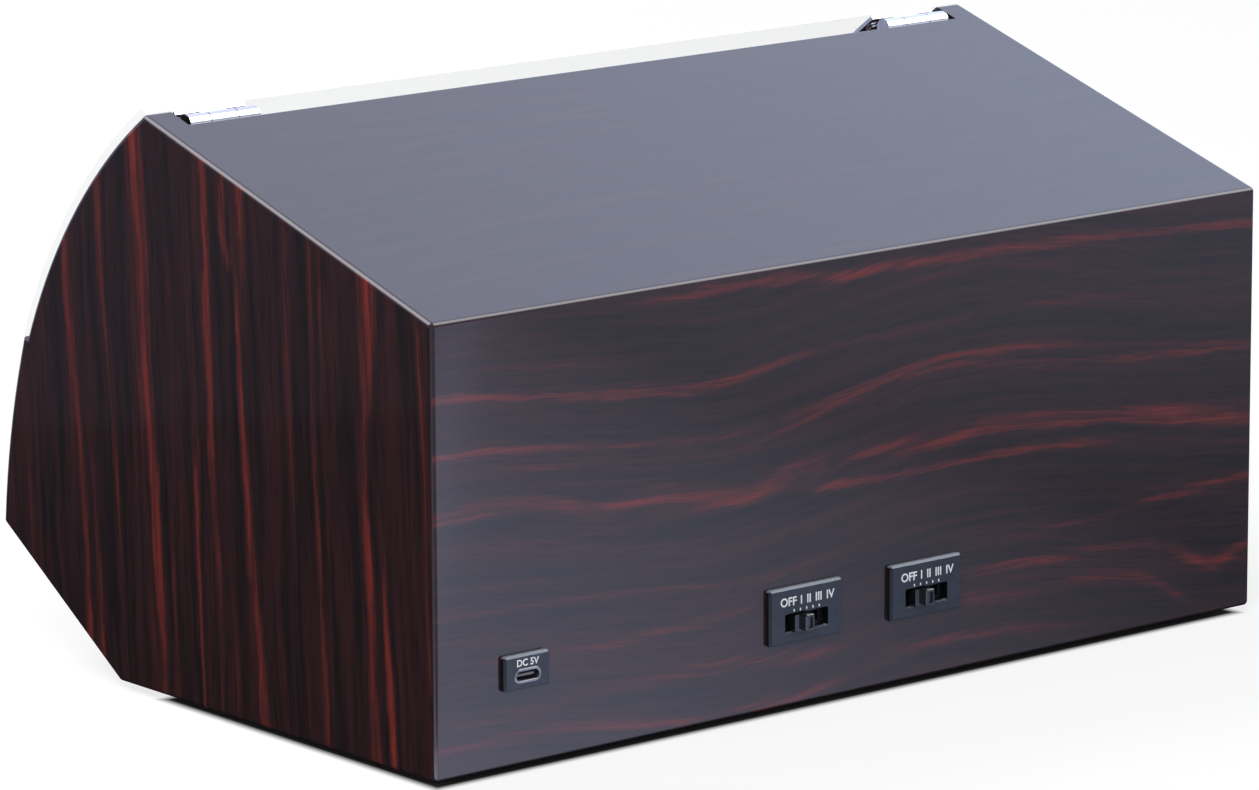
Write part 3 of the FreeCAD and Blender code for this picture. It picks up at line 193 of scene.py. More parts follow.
# Cuff pads, in the frame of their drive: width along X, length up the deck, height along the axis
CUFF_WIDTH = 45.6 * MM
CUFF_LENGTH = 59.96 * MM
CUFF_HEIGHT = 40 * MM
CUFF_MIDDLE = 1 * MM
PAD_SLACK = 1.6 * MM
PAD_ROUNDING = 3.5 * MM
PAD_VOXEL = 1.8 * MM
MOST_SWELL = 1.5 * PAD_SLACK
SWELL_FRAMES = 20
SEAM_INSET = 5 * MM
SEAM_X = CUFF_WIDTH / 2 - SEAM_INSET
SEAM_HOLD = 1.1 * MM
PIPING_RADIUS = 0.8 * MM
PIPING_LIFT = 0.2 * MM
STITCHES = 44
STITCH_LIFT = 0.45 * MM
STITCH_OFF_SEAM = 2.2 * MM
STITCH_HALF_SIZE = (0.28 * MM, 1.25 * MM, 0.28 * MM)
SAME_PLACE = 0.1 * MM

# Small screws, with the cutter of their cross recess, and where they sit on the hinges that they hold
SCREW_RADIUS = 2.1 * MM
SCREW_HEIGHT = 0.9 * MM
SCREW_RIM = 0.9 * SCREW_HEIGHT
SCREW_DOME = 0.6 * SCREW_HEIGHT
RECESS_SIZE = (1.15 * SCREW_RADIUS, 0.28 * SCREW_RADIUS, 1.1 * SCREW_HEIGHT)
SMOOTH_ANGLE = math.radians(35)
HINGE_LENGTH = 26 * MM
SCREW_OFF_MIDDLE = 0.33 * HINGE_LENGTH
SCREW_BELOW_PIN = 10 * MM
SCREW_OVER_FOOT = 2.6 * MM
LOOK_FROM = 5 * MM

# Spans in metres of which the floor's stops are shares: at the case's edges, off its rear corner, in front
EDGE_SPAN = 0.01
CORNER_SPAN = 0.1
FRONT_SPAN = 0.2

# Floor as the eye sees it: its paint, the share of that which keeps the shadow, and the white that is added,
# which fades out just inside the case's outline
FLOOR_SIZE = 30
FLOOR_PAINT = 0.8
SHADE_KEPT = 0.3
WHITE_ADDED = 0.78
UNDER_CASE = 0.5
WHITE_STOPS = ((0.1, 0.0), (0.5, 1.0))

# Floor as the gloss mirrors it. A way is a level direction as (x, y), and a stop is a place and a brightness.
SHINE_COLOUR = (0.93, 1.0, 1.38, 1)
LEAST_SHINE = 0.015
# The pool of light behind the case: its rise along its way, and its bounds
POOL_WAY = (1.0, 0.35)
POOL_RISE = 3.2
POOL_LEVEL = 0.74
POOL_MOST = 1.4
LEAST_RISE = 0.9
LEAST_NEAR = 0.24
LEAST_FAR = 0.47
# Its dimming on the left, close to the back
LEFT_RISE = 4.0
LEFT_LEVEL = 0.5
NEAR_RISE = 2.0
NEAR_LEVEL = 0.42
BEHIND_STOPS = ((0.0, 0.0), (0.5, 1.0))
# Its glow and its end, along the corner's way, where the back's right end mirrors it
CORNER_WAY = (0.77, 0.64)
CORNER_ACROSS = (0.64, -0.77)
GLOW_START = 0.09
GLOW_STOPS = ((0.0, 0.36), (0.07, 0.18), (0.14, 0.07), (0.3, 0.0))
GLOW_OFF_BACK = ((0.2, 0.0), (0.36, 1.0))
POOL_END = ((0.15, 1.0), (0.5, 0.2))
# The strip that the rounded corner mirrors, the light in front of the case and the table's far edge
STRIP_STOPS = ((0.1, 1.0), (0.35, 0.0))
FRONT_WAY = (0.766, 0.643)
FRONT_STOPS = ((0.3, 0.0), (0.8, 0.55))
TABLE_WAY = (0.508, -0.861)
TABLE_EDGE = 0.4985
TABLE_STOPS = ((0.0, 0.0), (0.02, 0.03))

# Sky as the gloss mirrors it: brightest about its middle, bluer on the far side, with two soft windows, each
# a centre, the cosines at which it starts and is full, and its light
SKY_MIDDLE = (-0.63, -0.50, 0.59)
SKY_STOPS = ((0.0, 0.35), (0.6, 0.5), (0.92, 1.0))
SKY_COLOURS = ((0.58, (0.59, 0.62, 0.82)), (0.7, (0.65, 0.745, 0.985)))
SKY_WINDOWS = (
    ((-0.63, 0.38, 0.66), (0.88, 0.96), (2.9, 2.9, 3.1, 1)),
    ((0.40, -0.46, 0.79), (0.86, 0.95), (3.2, 3.1, 3.3, 1)),
)
SKY_LIGHT = 1.6
FILL_LIGHT = 0.4

# Lamps: name, place, side of the square and power in watts; both aim at the middle of the case
LAMPS = (("key", (1.6, 1.5, 1.9), 1.2, 46), ("front", (0.7, -1.7, 2.1), 1.4, 40))
LAMP_TARGET = (0, 0, 0.08)


# Shader nodes

def feed(tree, socket, value):
    """Links a socket to another one, or sets its value."""
    if isinstance(value, bpy.types.NodeSocket):
        tree.links.new(value, socket)
    else:
        socket.default_value = value


def add_node(tree, kind, inputs=None, **settings):
    """A shader node with its settings made and its inputs fed by name."""
    node = tree.nodes.new("ShaderNode" + kind)
    for name, value in settings.items():
        setattr(node, name, value)
    for name, value in (inputs or {}).items():
        feed(tree, node.inputs[name], value)
    return node


def calc(tree, operation, *values):
    """The result of a Math node."""
    node = add_node(tree, "Math", operation=operation)
    for socket, value in zip(node.inputs, values):
        feed(tree, socket, value)
    return node.outputs[0]


def blend(tree, share, first, second):
    """A number that goes from the first to the second as share goes from 0 to 1."""
    node = add_node(tree, "Mix", {"Factor": share}, data_type="FLOAT")
    feed(tree, node.inputs[2], first)
    feed(tree, node.inputs[3], second)
    return node.outputs[0]


def tint(tree, share, first, second, mode="MIX"):
    """A colour that goes from the first to the second as share goes from 0 to 1."""
    node = add_node(tree, "Mix", data_type="RGBA", blend_type=mode)
    feed(tree, node.inputs[0], share)
    feed(tree, node.inputs[6], first)
    feed(tree, node.inputs[7], second)
    return node.outputs[2]


def split(tree, vector):
    """The three parts of a vector."""
    return add_node(tree, "SeparateXYZ", {"Vector": vector}).outputs[:]


def stretched(tree, vector, scale):
    """A vector with a scale of its own along each axis."""
    return add_node(tree, "Mapping", {"Vector": vector, "Scale": scale}).outputs[0]


def join(tree, x, y, z):
    """A vector from its three parts."""
    return add_node(tree, "CombineXYZ", {"X": x, "Y": y, "Z": z}).outputs[0]


def noise(tree, vector, scale, detail=2.0, roughness=0.5):
    """A noise pattern's value."""
    inputs = {"Vector": vector, "Scale": scale, "Detail": detail, "Roughness": roughness}
    return add_node(tree, "TexNoise", inputs).outputs[0]


def ramp(tree, factor, stops, way="LINEAR"):
    """A colour ramp; stops are (position, colour or grey value)."""
    node = add_node(tree, "ValToRGB", {"Fac": factor})
    node.color_ramp.interpolation = way
    elements = node.color_ramp.elements
    while len(elements) < len(stops):
        elements.new(1.0)
    for element, (position, colour) in zip(elements, stops):
        element.position = position
        element.color = (*colour, 1) if isinstance(colour, tuple) else (colour, colour, colour, 1)
    return node.outputs[0]


def bump(tree, surface, height, strength, distance, socket="Normal"):
    """Gives a surface a bump from a height pattern."""
    inputs = {"Height": height, "Strength": strength, "Distance": distance}
    feed(tree, surface.inputs[socket], add_node(tree, "Bump", inputs).outputs[0])


def srgb(red, green, blue):
    """A colour as seen on a screen, from 0 to 255, as light values."""
    values = []
    for part in (red, green, blue):
        share = part / 255
        values.append(share / 12.92 if share <= 0.04045 else ((share + 0.055) / 1.055) ** 2.4)
    return tuple(values)


def grey(value):
    """A grey with full alpha, for a shader's socket."""
    return (value, value, value, 1)


def mix(tree, share, first, second):
    """A shader that goes from the first to the second as share goes from 0 to 1."""
    node = add_node(tree, "MixShader", {0: share})
    tree.links.new(first.outputs[0], node.inputs[1])
    tree.links.new(second.outputs[0], node.inputs[2])
    return node


# Finishes

def new_finish(name, **values):
    """A material, its node tree, its surface shader and its Object coordinates."""
    finish = bpy.data.materials.new(name)
    finish.use_nodes = True
    tree = finish.node_tree
    surface = tree.nodes["Principled BSDF"]
    for socket, value in values.items():
        surface.inputs[socket.replace("_", " ")].default_value = value
    place = add_node(tree, "TexCoord").outputs["Object"]
    return finish, tree, surface, place


def moulded(name, dark, light, rough, grain, bumps, **values):
    """A plain surface with a fine grain: two close colours, a range of roughness and a bump."""
    finish, tree, surface, place = new_finish(name, **values)
    cloudy = noise(tree, place, scale=grain / CLOUD_SIZE, detail=3)
    fine = noise(tree, place, scale=grain, detail=4, roughness=0.6)
    shade = blend(tree, GRAIN_SHARE, cloudy, fine)
    feed(tree, surface.inputs["Base Color"], ramp(tree, shade, [(0.3, dark), (0.7, light)]))
    feed(tree, surface.inputs["Roughness"], ramp(tree, fine, [(0.25, rough[0]), (0.75, rough[1])]))
    bump(tree, surface, fine, strength=bumps, distance=1 / grain)
    return finish


def streak_line(tree, along, points, length):
    """Where a drawn streak runs, in mm across the grain, and its strength there."""
    stops = [(place / length, (across / STREAK_SPAN, strength, 0.0)) for place, across, strength in points]
    line = ramp(tree, calc(tree, "DIVIDE", along, length), stops, "CARDINAL")
    across, strength = add_node(tree, "SeparateColor", {"Color": line}).outputs[:2]
    return calc(tree, "MULTIPLY", across, STREAK_SPAN), strength


def drawn_streaks(tree, along, across, lines, length):
    """Brightness of the drawn streaks over places in mm along and across the grain."""
    brightness = 0.0
    for width, points in lines:
        middle, strength = streak_line(tree, along, points, length)
        away = calc(tree, "ABSOLUTE", calc(tree, "SUBTRACT", across, middle))
        reach = calc(tree, "MULTIPLY_ADD", strength, STREAK_GAIN * width, STREAK_LEAST * width)
        fade = {"Value": calc(tree, "DIVIDE", away, reach), "From Min": STREAK_CORE, "From Max": 1.0,
                "To Min": strength, "To Max": 0.0}
        streak = add_node(tree, "MapRange", fade, interpolation_type="SMOOTHSTEP").outputs[0]
        brightness = calc(tree, "MAXIMUM", streak, brightness)
    return brightness


def millimetres(tree, first, last):
    """The way from one place to another along an axis, in mm."""
    return calc(tree, "DIVIDE", calc(tree, "SUBTRACT", last, first), MM)


def grain_noise(tree, along, across, side, scale, detail, roughness=0.5):
    """Noise drawn out along the grain, with a pattern of its own on each side of the case."""
    drawn_out, narrowed = calc(tree, "MULTIPLY", along, scale[0]), calc(tree, "MULTIPLY", across, scale[1])
    return noise(tree, join(tree, drawn_out, narrowed, side), 1.0, detail, roughness)


def sway(tree, pattern, reach):
    """A shift to both sides, from a pattern's value between 0 and 1."""
    return calc(tree, "MULTIPLY", calc(tree, "SUBTRACT", pattern, 0.5), reach)


def veneer_pattern(tree, sideways, forward, height, on_cheek):
    """The veneer's red, as a strength over its dark ground, and the shade of its pores; places are in mm."""
    folded = calc(tree, "PINGPONG", calc(tree, "ADD", height, forward), BACK_SPAN)
    along = blend(tree, on_cheek, sideways, height)
    across = blend(tree, on_cheek, folded, forward)
    waves = grain_noise(tree, along, across, on_cheek, WAVE_SCALE, detail=2)
    threads = grain_noise(tree, along, across, on_cheek, FRAY_SCALE, detail=3, roughness=0.6)
    ripples = grain_noise(tree, along, across, on_cheek, RIPPLE_SCALE, detail=3, roughness=0.6)
    shifts = calc(tree, "ADD", sway(tree, threads, FRAY_SHIFT), sway(tree, ripples, RIPPLE_SHIFT))
    frayed = calc(tree, "ADD", across, shifts)
    bold = blend(tree, on_cheek,
                 drawn_streaks(tree, sideways, frayed, BACK_STREAKS, BACK_LENGTH),
                 drawn_streaks(tree, height, frayed, CHEEK_STREAKS, CHEEK_LENGTH))

    flow = streak_line(tree, sideways, BACK_STREAKS[FLOW_LINE][1], BACK_LENGTH)[0]
    tilted = calc(tree, "SUBTRACT", forward, calc(tree, "MULTIPLY", height, CHEEK_TILT))
    grain = blend(tree, on_cheek, calc(tree, "SUBTRACT", folded, flow), tilted)
    grain = calc(tree, "ADD", grain, sway(tree, waves, WAVE_SHIFT))
    fine = grain_noise(tree, along, grain, on_cheek, LINE_SCALE, detail=5, roughness=0.7)
    patches = grain_noise(tree, along, grain, on_cheek, PATCH_SCALE, detail=3, roughness=0.6)
    broad = grain_noise(tree, along, grain, on_cheek, BAND_SCALE, detail=3, roughness=0.55)
    dashes = grain_noise(tree, along, grain, on_cheek, PORE_SCALE, detail=2, roughness=0.6)
    fibres = ramp(tree, fine, [(0.3, 0.5), (0.58, 1.0)])
    patchy = ramp(tree, patches, [(0.32, 0.72), (0.62, 1.0)])
    bold = calc(tree, "MULTIPLY", bold, calc(tree, "MULTIPLY", fibres, patchy))
    faint = calc(tree, "MULTIPLY", ramp(tree, fine, [(0.44, 0.0), (0.66, 0.8)]), FAINT_SHARE)
    faint = calc(tree, "ADD", faint, ramp(tree, broad, [(0.42, 0.0), (0.68, 0.26)]))
    red = calc(tree, "ADD", calc(tree, "MULTIPLY", bold, BOLD_SHARE), faint)
    return red, ramp(tree, dashes, [(0.3, 0.45), (0.48, 1.0)])


def ebony_veneer():
    """Dark striped veneer under gloss lacquer; its grain is upright on the cheeks and level elsewhere."""
    finish, tree, surface, place = new_finish(
        "ebony_veneer", Roughness=0.45, Coat_Weight=1.0, Coat_Roughness=0.045, Coat_IOR=1.55,
        Specular_IOR_Level=0.15)
    x, y, z = split(tree, place)
    sideways = millimetres(tree, x, CASE_SIDE)
    forward = millimetres(tree, y, BACK_FACE)
    height = millimetres(tree, CASE_FLOOR, z)
    normal = split(tree, add_node(tree, "TexCoord").outputs["Normal"])
    on_cheek = calc(tree, "GREATER_THAN", calc(tree, "ABSOLUTE", normal[0]), FACES_SIDE)
    upwards = calc(tree, "GREATER_THAN", normal[2], FACES_UP)
    red, pores = veneer_pattern(tree, sideways, forward, height, on_cheek)
    depth = blend(tree, upwards, blend(tree, on_cheek, BACK_DEPTH, CHEEK_DEPTH), TOP_DEPTH)
    colour = ramp(tree, calc(tree, "MULTIPLY", red, depth), [
        (0.0, srgb(24, 18, 20)), (0.25, srgb(50, 25, 25)), (0.6, srgb(108, 36, 31)), (1.0, srgb(152, 50, 38)),
    ])
    feed(tree, surface.inputs["Base Color"], tint(tree, 1.0, colour, pores, "MULTIPLY"))
    lacquer = noise(tree, place, scale=420.0, detail=2)
    bump(tree, surface, lacquer, strength=0.012, distance=0.5 * MM, socket="Coat Normal")
    return finish


def raw_pine():
    """Plain softwood, with growth lines along X."""
    finish, tree, surface, place = new_finish("raw_pine", Roughness=0.7)
    grain = noise(tree, stretched(tree, place, (14.0, 220.0, 220.0)), 1.0, detail=4, roughness=0.6)
    colour = ramp(tree, grain, [(0.35, srgb(178, 136, 92)), (0.6, srgb(214, 178, 132))])
    feed(tree, surface.inputs["Base Color"], colour)
    bump(tree, surface, grain, strength=0.2, distance=0.5 * MM)
    return finish


def velour(name, dark, light):
    """Short dark pile: mottled by the lie of its fibres, with a pale sheen at the edges."""
    finish, tree, surface, place = new_finish(name, Sheen_Weight=0.6, Sheen_Roughness=0.35,
                                              Specular_IOR_Level=0.1)
    lie = noise(tree, place, scale=45.0, detail=3)
    pile = noise(tree, place, scale=2600.0, detail=2, roughness=0.7)
    shade = blend(tree, PILE_SHARE, lie, pile)
    feed(tree, surface.inputs["Base Color"], ramp(tree, shade, [(0.35, dark), (0.65, light)]))
    feed(tree, surface.inputs["Roughness"], ramp(tree, pile, [(0.0, 0.85), (1.0, 1.0)]))
    bump(tree, surface, pile, strength=0.06, distance=0.3 * MM)
    return finish


def leatherette():
    """Cream coated fabric with a pebbled grain, and painted shade in the hollows between its pebbles."""
    finish, tree, surface, place = new_finish("cream_leatherette", Specular_IOR_Level=0.4, Sheen_Weight=0.08)
    pebbles = add_node(tree, "TexVoronoi", {"Vector": place, "Scale": 950.0}, feature="SMOOTH_F1")
    cells = pebbles.outputs["Distance"]
    cloudy = noise(tree, place, scale=60.0, detail=3)
    # Painted shade: the colour darkens between the pebbles, where the bump is lowest.
    crease_shade = ramp(tree, cells, [(0.25, 1.0), (0.75, 0.82)])
    colour = ramp(tree, cloudy, [(0.35, srgb(223, 208, 182)), (0.65, srgb(235, 222, 198))])
    feed(tree, surface.inputs["Base Color"], tint(tree, 1.0, colour, crease_shade, "MULTIPLY"))
    feed(tree, surface.inputs["Roughness"], ramp(tree, cells, [(0.2, 0.42), (0.8, 0.62)]))
    bump(tree, surface, calc(tree, "SUBTRACT", 1.0, cells), strength=0.35, distance=0.6 * MM)
    return finish


def clear_acrylic():
    """Clear sheet: nearly all see-through, with a gloss that grows towards grazing views."""
    finish, tree, surface, place = new_finish("clear_acrylic", Metallic=1.0,
                                              Base_Color=(0.93, 0.96, 0.96, 1.0))
    haze = noise(tree, place, scale=18.0, detail=3)
    feed(tree, surface.inputs["Roughness"], ramp(tree, haze, [(0.3, 0.01), (0.8, 0.05)]))
    facing = add_node(tree, "LayerWeight", {"Blend": 0.5}).outputs["Facing"]
    inside = add_node(tree, "NewGeometry").outputs["Backfacing"]
    grazing = calc(tree, "POWER", facing, GLOSS_POWER)
    gloss = calc(tree, "MULTIPLY_ADD", grazing, GLOSS_GAIN, GLOSS_LEAST)
    gloss = calc(tree, "MULTIPLY", gloss, blend(tree, inside, 1.0, GLOSS_INSIDE))
    shade = ramp(tree, facing, [(0.2, (0.945, 0.957, 0.956)), (0.75, (0.992, 0.996, 0.995))])
    through = add_node(tree, "BsdfTransparent", {"Color": shade})
    mixed = mix(tree, gloss, through, surface)
    tree.links.new(mixed.outputs[0], tree.nodes["Material Output"].inputs["Surface"])
    return finish


def circuit_board():
    """Green solder mask over a maze of tracks."""
    finish, tree, surface, place = new_finish("circuit_board", Roughness=0.35, Coat_Weight=0.4)
    maze = {"Vector": place, "Scale": 340.0}
    tracks = add_node(tree, "TexVoronoi", maze, distance="MANHATTAN", feature="DISTANCE_TO_EDGE").outputs[0]
    colour = ramp(tree, tracks, [(0.06, srgb(38, 118, 66)), (0.12, srgb(18, 72, 40))])
    feed(tree, surface.inputs["Base Color"], colour)
    bump(tree, surface, tracks, strength=0.1, distance=0.2 * MM)
    return finish


def brushed(name, dark, light, rough, scale):
    """Metal with fine lines, drawn out along the axis of its smallest scale."""
    finish, tree, surface, place = new_finish(name, Metallic=1.0)
    grain = noise(tree, stretched(tree, place, scale), 1.0, detail=3, roughness=0.6)
    feed(tree, surface.inputs["Base Color"], ramp(tree, grain, [(0.3, dark), (0.7, light)]))
    feed(tree, surface.inputs["Roughness"], ramp(tree, grain, [(0.3, rough[0]), (0.7, rough[1])]))
    bump(tree, surface, grain, strength=0.05, distance=0.2 * MM)
    return finish


def plate_plastic():
    """Blue-grey moulded plate, with painted shade on its left and right sides and a painted highlight along its
    upper edge.
    """
    finish = moulded("plate_plastic", srgb(28, 37, 46), srgb(42, 52, 62),
                     rough=(0.34, 0.5), grain=1600.0, bumps=0.06)
    tree = finish.node_tree
    colour_socket = tree.nodes["Principled BSDF"].inputs["Base Color"]
    colour = colour_socket.links[0].from_socket
    normal = split(tree, add_node(tree, "TexCoord").outputs["Normal"])
    # Painted shade: faces turned to the left or right are darkened to near black.
    ends = ramp(tree, calc(tree, "ABSOLUTE", normal[0]), [(0.2, 0.0), (0.5, 1.0)])
    # Painted highlight: faces turned up are tinted paler along the upper edge.
    lit_upper_edge = ramp(tree, normal[2], [(0.3, 0.0), (0.6, 1.0)])
    colour = tint(tree, ends, colour, (*srgb(8, 9, 11), 1))
    feed(tree, colour_socket, tint(tree, lit_upper_edge, colour, (*srgb(112, 120, 130), 1)))
    return finish


def make_finishes():
    """Every finish by its slot in the record."""
    return {
        "veneer": ebony_veneer(),
        "base_board": moulded("black_board", srgb(26, 25, 26), srgb(38, 36, 37),
                              rough=(0.5, 0.7), grain=700.0, bumps=0.25),
        "raw_wood": raw_pine(),
        "deck_cover": velour("deck_velour", srgb(17, 16, 18), srgb(42, 40, 43)),
        "rubber": moulded("foot_rubber", srgb(22, 22, 22), srgb(38, 37, 37),
                          rough=(0.75, 0.95), grain=1500.0, bumps=0.3),
        "clear_acrylic": clear_acrylic(),
        "chrome": moulded("polished_chrome", (0.72, 0.73, 0.75), (0.82, 0.83, 0.85),
                          rough=(0.1, 0.18), grain=300.0, bumps=0.01, Metallic=1.0),
        "steel": brushed("plain_steel", (0.42, 0.42, 0.43), (0.62, 0.62, 0.62),
                         rough=(0.25, 0.45), scale=(60.0, 1400.0, 1400.0)),
        "plate_plastic": plate_plastic(),
        "black_plastic": moulded("black_plastic", srgb(14, 15, 17), srgb(26, 27, 29),
                                 rough=(0.3, 0.5), grain=1400.0, bumps=0.08),
        "circuit_board": circuit_board(),
        "white_plastic": moulded("nylon", srgb(222, 216, 200), srgb(238, 234, 222),
                                 rough=(0.4, 0.6), grain=900.0, bumps=0.05),
        "lead_cover": moulded("lead_cover", srgb(20, 20, 21), srgb(36, 36, 38),
                              rough=(0.5, 0.7), grain=1800.0, bumps=0.2),
        "rotor_plastic": velour("rotor_flock", srgb(19, 18, 19), srgb(46, 44, 46)),
        "gear_plastic": moulded("acetal", srgb(226, 222, 208), srgb(240, 237, 226),
                                rough=(0.3, 0.45), grain=700.0, bumps=0.04),
        "bronze": moulded("sintered_bronze", (0.36, 0.22, 0.1), (0.62, 0.42, 0.2),
                          rough=(0.35, 0.6), grain=2200.0, bumps=0.3, Metallic=1.0),
        "chassis_plastic": moulded("chassis_plastic", srgb(28, 28, 30), srgb(46, 46, 48),
                                   rough=(0.45, 0.65), grain=1100.0, bumps=0.2),
        "gearbox_metal": moulded("die_cast", (0.5, 0.5, 0.51), (0.68, 0.68, 0.69),
                                 rough=(0.35, 0.55), grain=1300.0, bumps=0.25, Metallic=1.0),
        "cuff_cover": leatherette(),
    }


# Pieces

def dress(piece, finish):
    """Puts one finish on a piece."""
    piece.data.materials.clear()
    piece.data.materials.append(finish)


def dress_nodes(finishes):
    """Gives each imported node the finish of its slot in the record."""
    for subpart in frame["record"]["subparts"]:
        node = frame["nodes"][subpart["node"]]
        node.material_slots[0].material = finishes[subpart["material_slot"]]


def deselect():
    """Leaves nothing selected, in object mode."""
    if bpy.context.mode != "OBJECT":
        bpy.ops.object.mode_set(mode="OBJECT")
    bpy.ops.object.select_all(action="DESELECT")


def activate(piece):
    """Makes a piece the only one selected, and the active one."""
    deselect()
    piece.select_set(True)
    bpy.context.view_layer.objects.active = piece


def start(operator, **settings):
    """A new primitive, alone in the selection."""
    deselect()
    operator(**settings)
    return bpy.context.object


def settle(piece, name, body, finish, placement=None):
    """Applies a piece's place to its mesh, names and dresses it, and lets it ride on a body."""
    activate(piece)
    bpy.ops.object.transform_apply(location=True, rotation=True, scale=True)
    if placement is not None:
        piece.data.transform(placement)
    piece.name = name
    piece.data.name = name
    dress(piece, finish)
    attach(piece, body)
    return piece


def joint(name):
    """A joint of the record by its name."""
    return next(entry for entry in frame["joints"] if entry["name"] == name)


def drive_frame(hand):
    """The frame of a drive: its Z runs out along the rotor axis and its Y up the deck."""
    spin = joint(f"rotor_{hand}_spin")
    out = Vector(spin["axis"])
    right = Vector((1, 0, 0))
    up = out.cross(right)
    turn = Matrix((right, up, out)).transposed().to_4x4()
    return Matrix.Translation(Vector(spin["pos_m"])) @ turn


# Labels

def label_frame(plate):
    """The frame of a label in the middle of a back plate: read from behind, with its face outwards."""
    low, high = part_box(plate)
    turn = Matrix(((-1, 0, 0), (0, 0, 1), (0, 1, 0))).to_4x4()
    return Matrix.Translation(Vector(((low.x + high.x) / 2, high.y, (low.z + high.z) / 2))) @ turn


def lettering(words, size):
    """Raised print: words as (text, x, y), read along X in the XY plane."""
    pieces = []
    for text, x, y in words:
        piece = start(bpy.ops.object.text_add, location=(x, y, 0))
        piece.data.body = text
        piece.data.size = size
        piece.data.align_x = "CENTER"
        piece.data.align_y = "CENTER"
        piece.data.offset = PRINT_BOLDNESS * size
        piece.data.extrude = PRINT_THICKNESS
        piece.data.resolution_u = 4
        bpy.ops.object.convert(target="MESH")
        pieces.append(bpy.context.object)
    return pieces


def ticks():
    """Short printed marks in a row, one for each step of a switch."""
    pieces = []
    for step in TICK_STEPS:
        piece = start(bpy.ops.mesh.primitive_cube_add, size=1, location=(step * TICK_PITCH, TICK_ROW, 0))
        piece.scale = (TICK_WIDTH, TICK_HEIGHT, 2 * PRINT_THICKNESS)
        pieces.append(piece)
    return pieces


def merge(pieces):
    """Joins pieces into the first one."""
    deselect()
    for piece in pieces:
        piece.select_set(True)
    bpy.context.view_layer.objects.active = pieces[0]
    bpy.ops.object.transform_apply(location=True, rotation=True, scale=True)
    bpy.ops.object.join()
    return bpy.context.object


def centre_of(node):
    """The middle of a node's box."""
    low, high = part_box(node)
    return (low + high) / 2


def make_labels(print_finish):
    """The switch steps and the inlet's supply, printed in white."""
    for hand in ("left", "right"):
        plate = f"switch_plate_{hand}"
        marks = ticks()
        row = merge(lettering([(text, x * MM, STEP_ROW) for text, x in STEP_WORDS], STEP_SIZE) + marks)
        settle(row, f"switch_label_{hand}", "case", print_finish, label_frame(plate))
    word = merge(lettering([(SUPPLY_WORDS, 0, SUPPLY_ROW)], SUPPLY_SIZE))
    settle(word, "inlet_label", "case", print_finish, label_frame("inlet_plate"))


def make_port_rim(finish):
    """A rolled metal rim round the power port, on the face of its plate."""
    low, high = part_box("inlet_shell")
    half_height = (high.z - low.z) / 2
    half_straight = (high.x - low.x) / 2 - half_height
    rim = start(bpy.ops.mesh.primitive_torus_add, major_radius=half_height + RIM_OUT,
                minor_radius=RIM_RADIUS, major_segments=38, minor_segments=12)
    bpy.ops.object.mode_set(mode="EDIT")
    bpy.ops.mesh.select_mode(type="VERT")
    bpy.ops.mesh.select_all(action="DESELECT")
    bpy.ops.object.mode_set(mode="OBJECT")
    for vertex in rim.data.vertices:
        vertex.select = vertex.co.x > 0
    bpy.ops.object.mode_set(mode="EDIT")
    bpy.ops.transform.translate(value=(half_straight, 0, 0))
    bpy.ops.mesh.select_all(action="INVERT")
    bpy.ops.transform.translate(value=(-half_straight, 0, 0))
    bpy.ops.mesh.select_all(action="SELECT")
    bpy.ops.transform.resize(value=(1, 1, RIM_FLATNESS))
    bpy.ops.object.mode_set(mode="OBJECT")
    bpy.ops.object.shade_smooth()
    on_port = label_frame("inlet_plate")
    on_port.translation.x = (low.x + high.x) / 2
    on_port.translation.z = (low.z + high.z) / 2
    settle(rim, "port_rim", "case", finish, on_port)


# Cuffs

def pad_blank():
    """The pad's starting shape: an oval roll with rounded ends, in the frame of its drive."""
    pad = start(bpy.ops.mesh.primitive_cylinder_add, vertices=72, radius=0.5, depth=1, end_fill_type="NGON",
                rotation=(0, math.pi / 2, 0), location=(0, 0, CUFF_MIDDLE))
    bpy.ops.object.transform_apply(location=False, rotation=True, scale=False)
    pad.scale = (CUFF_WIDTH - 2 * PAD_SLACK, CUFF_LENGTH - 2 * PAD_SLACK, CUFF_HEIGHT - 2 * PAD_SLACK)
    bpy.ops.object.transform_apply(location=True, rotation=True, scale=True)
    bpy.ops.object.mode_set(mode="EDIT")
    bpy.ops.mesh.select_mode(type="EDGE")
    bpy.ops.mesh.select_all(action="DESELECT")
    bpy.ops.object.mode_set(mode="OBJECT")
    for edge in pad.data.edges:
        first, last = (pad.data.vertices[index].co for index in edge.vertices)
        edge.select = abs(first.x - last.x) < SAME_PLACE
    bpy.ops.object.mode_set(mode="EDIT")
    bpy.ops.mesh.bevel(offset=PAD_ROUNDING, segments=4, affect="EDGES")
    bpy.ops.object.mode_set(mode="OBJECT")
    return pad


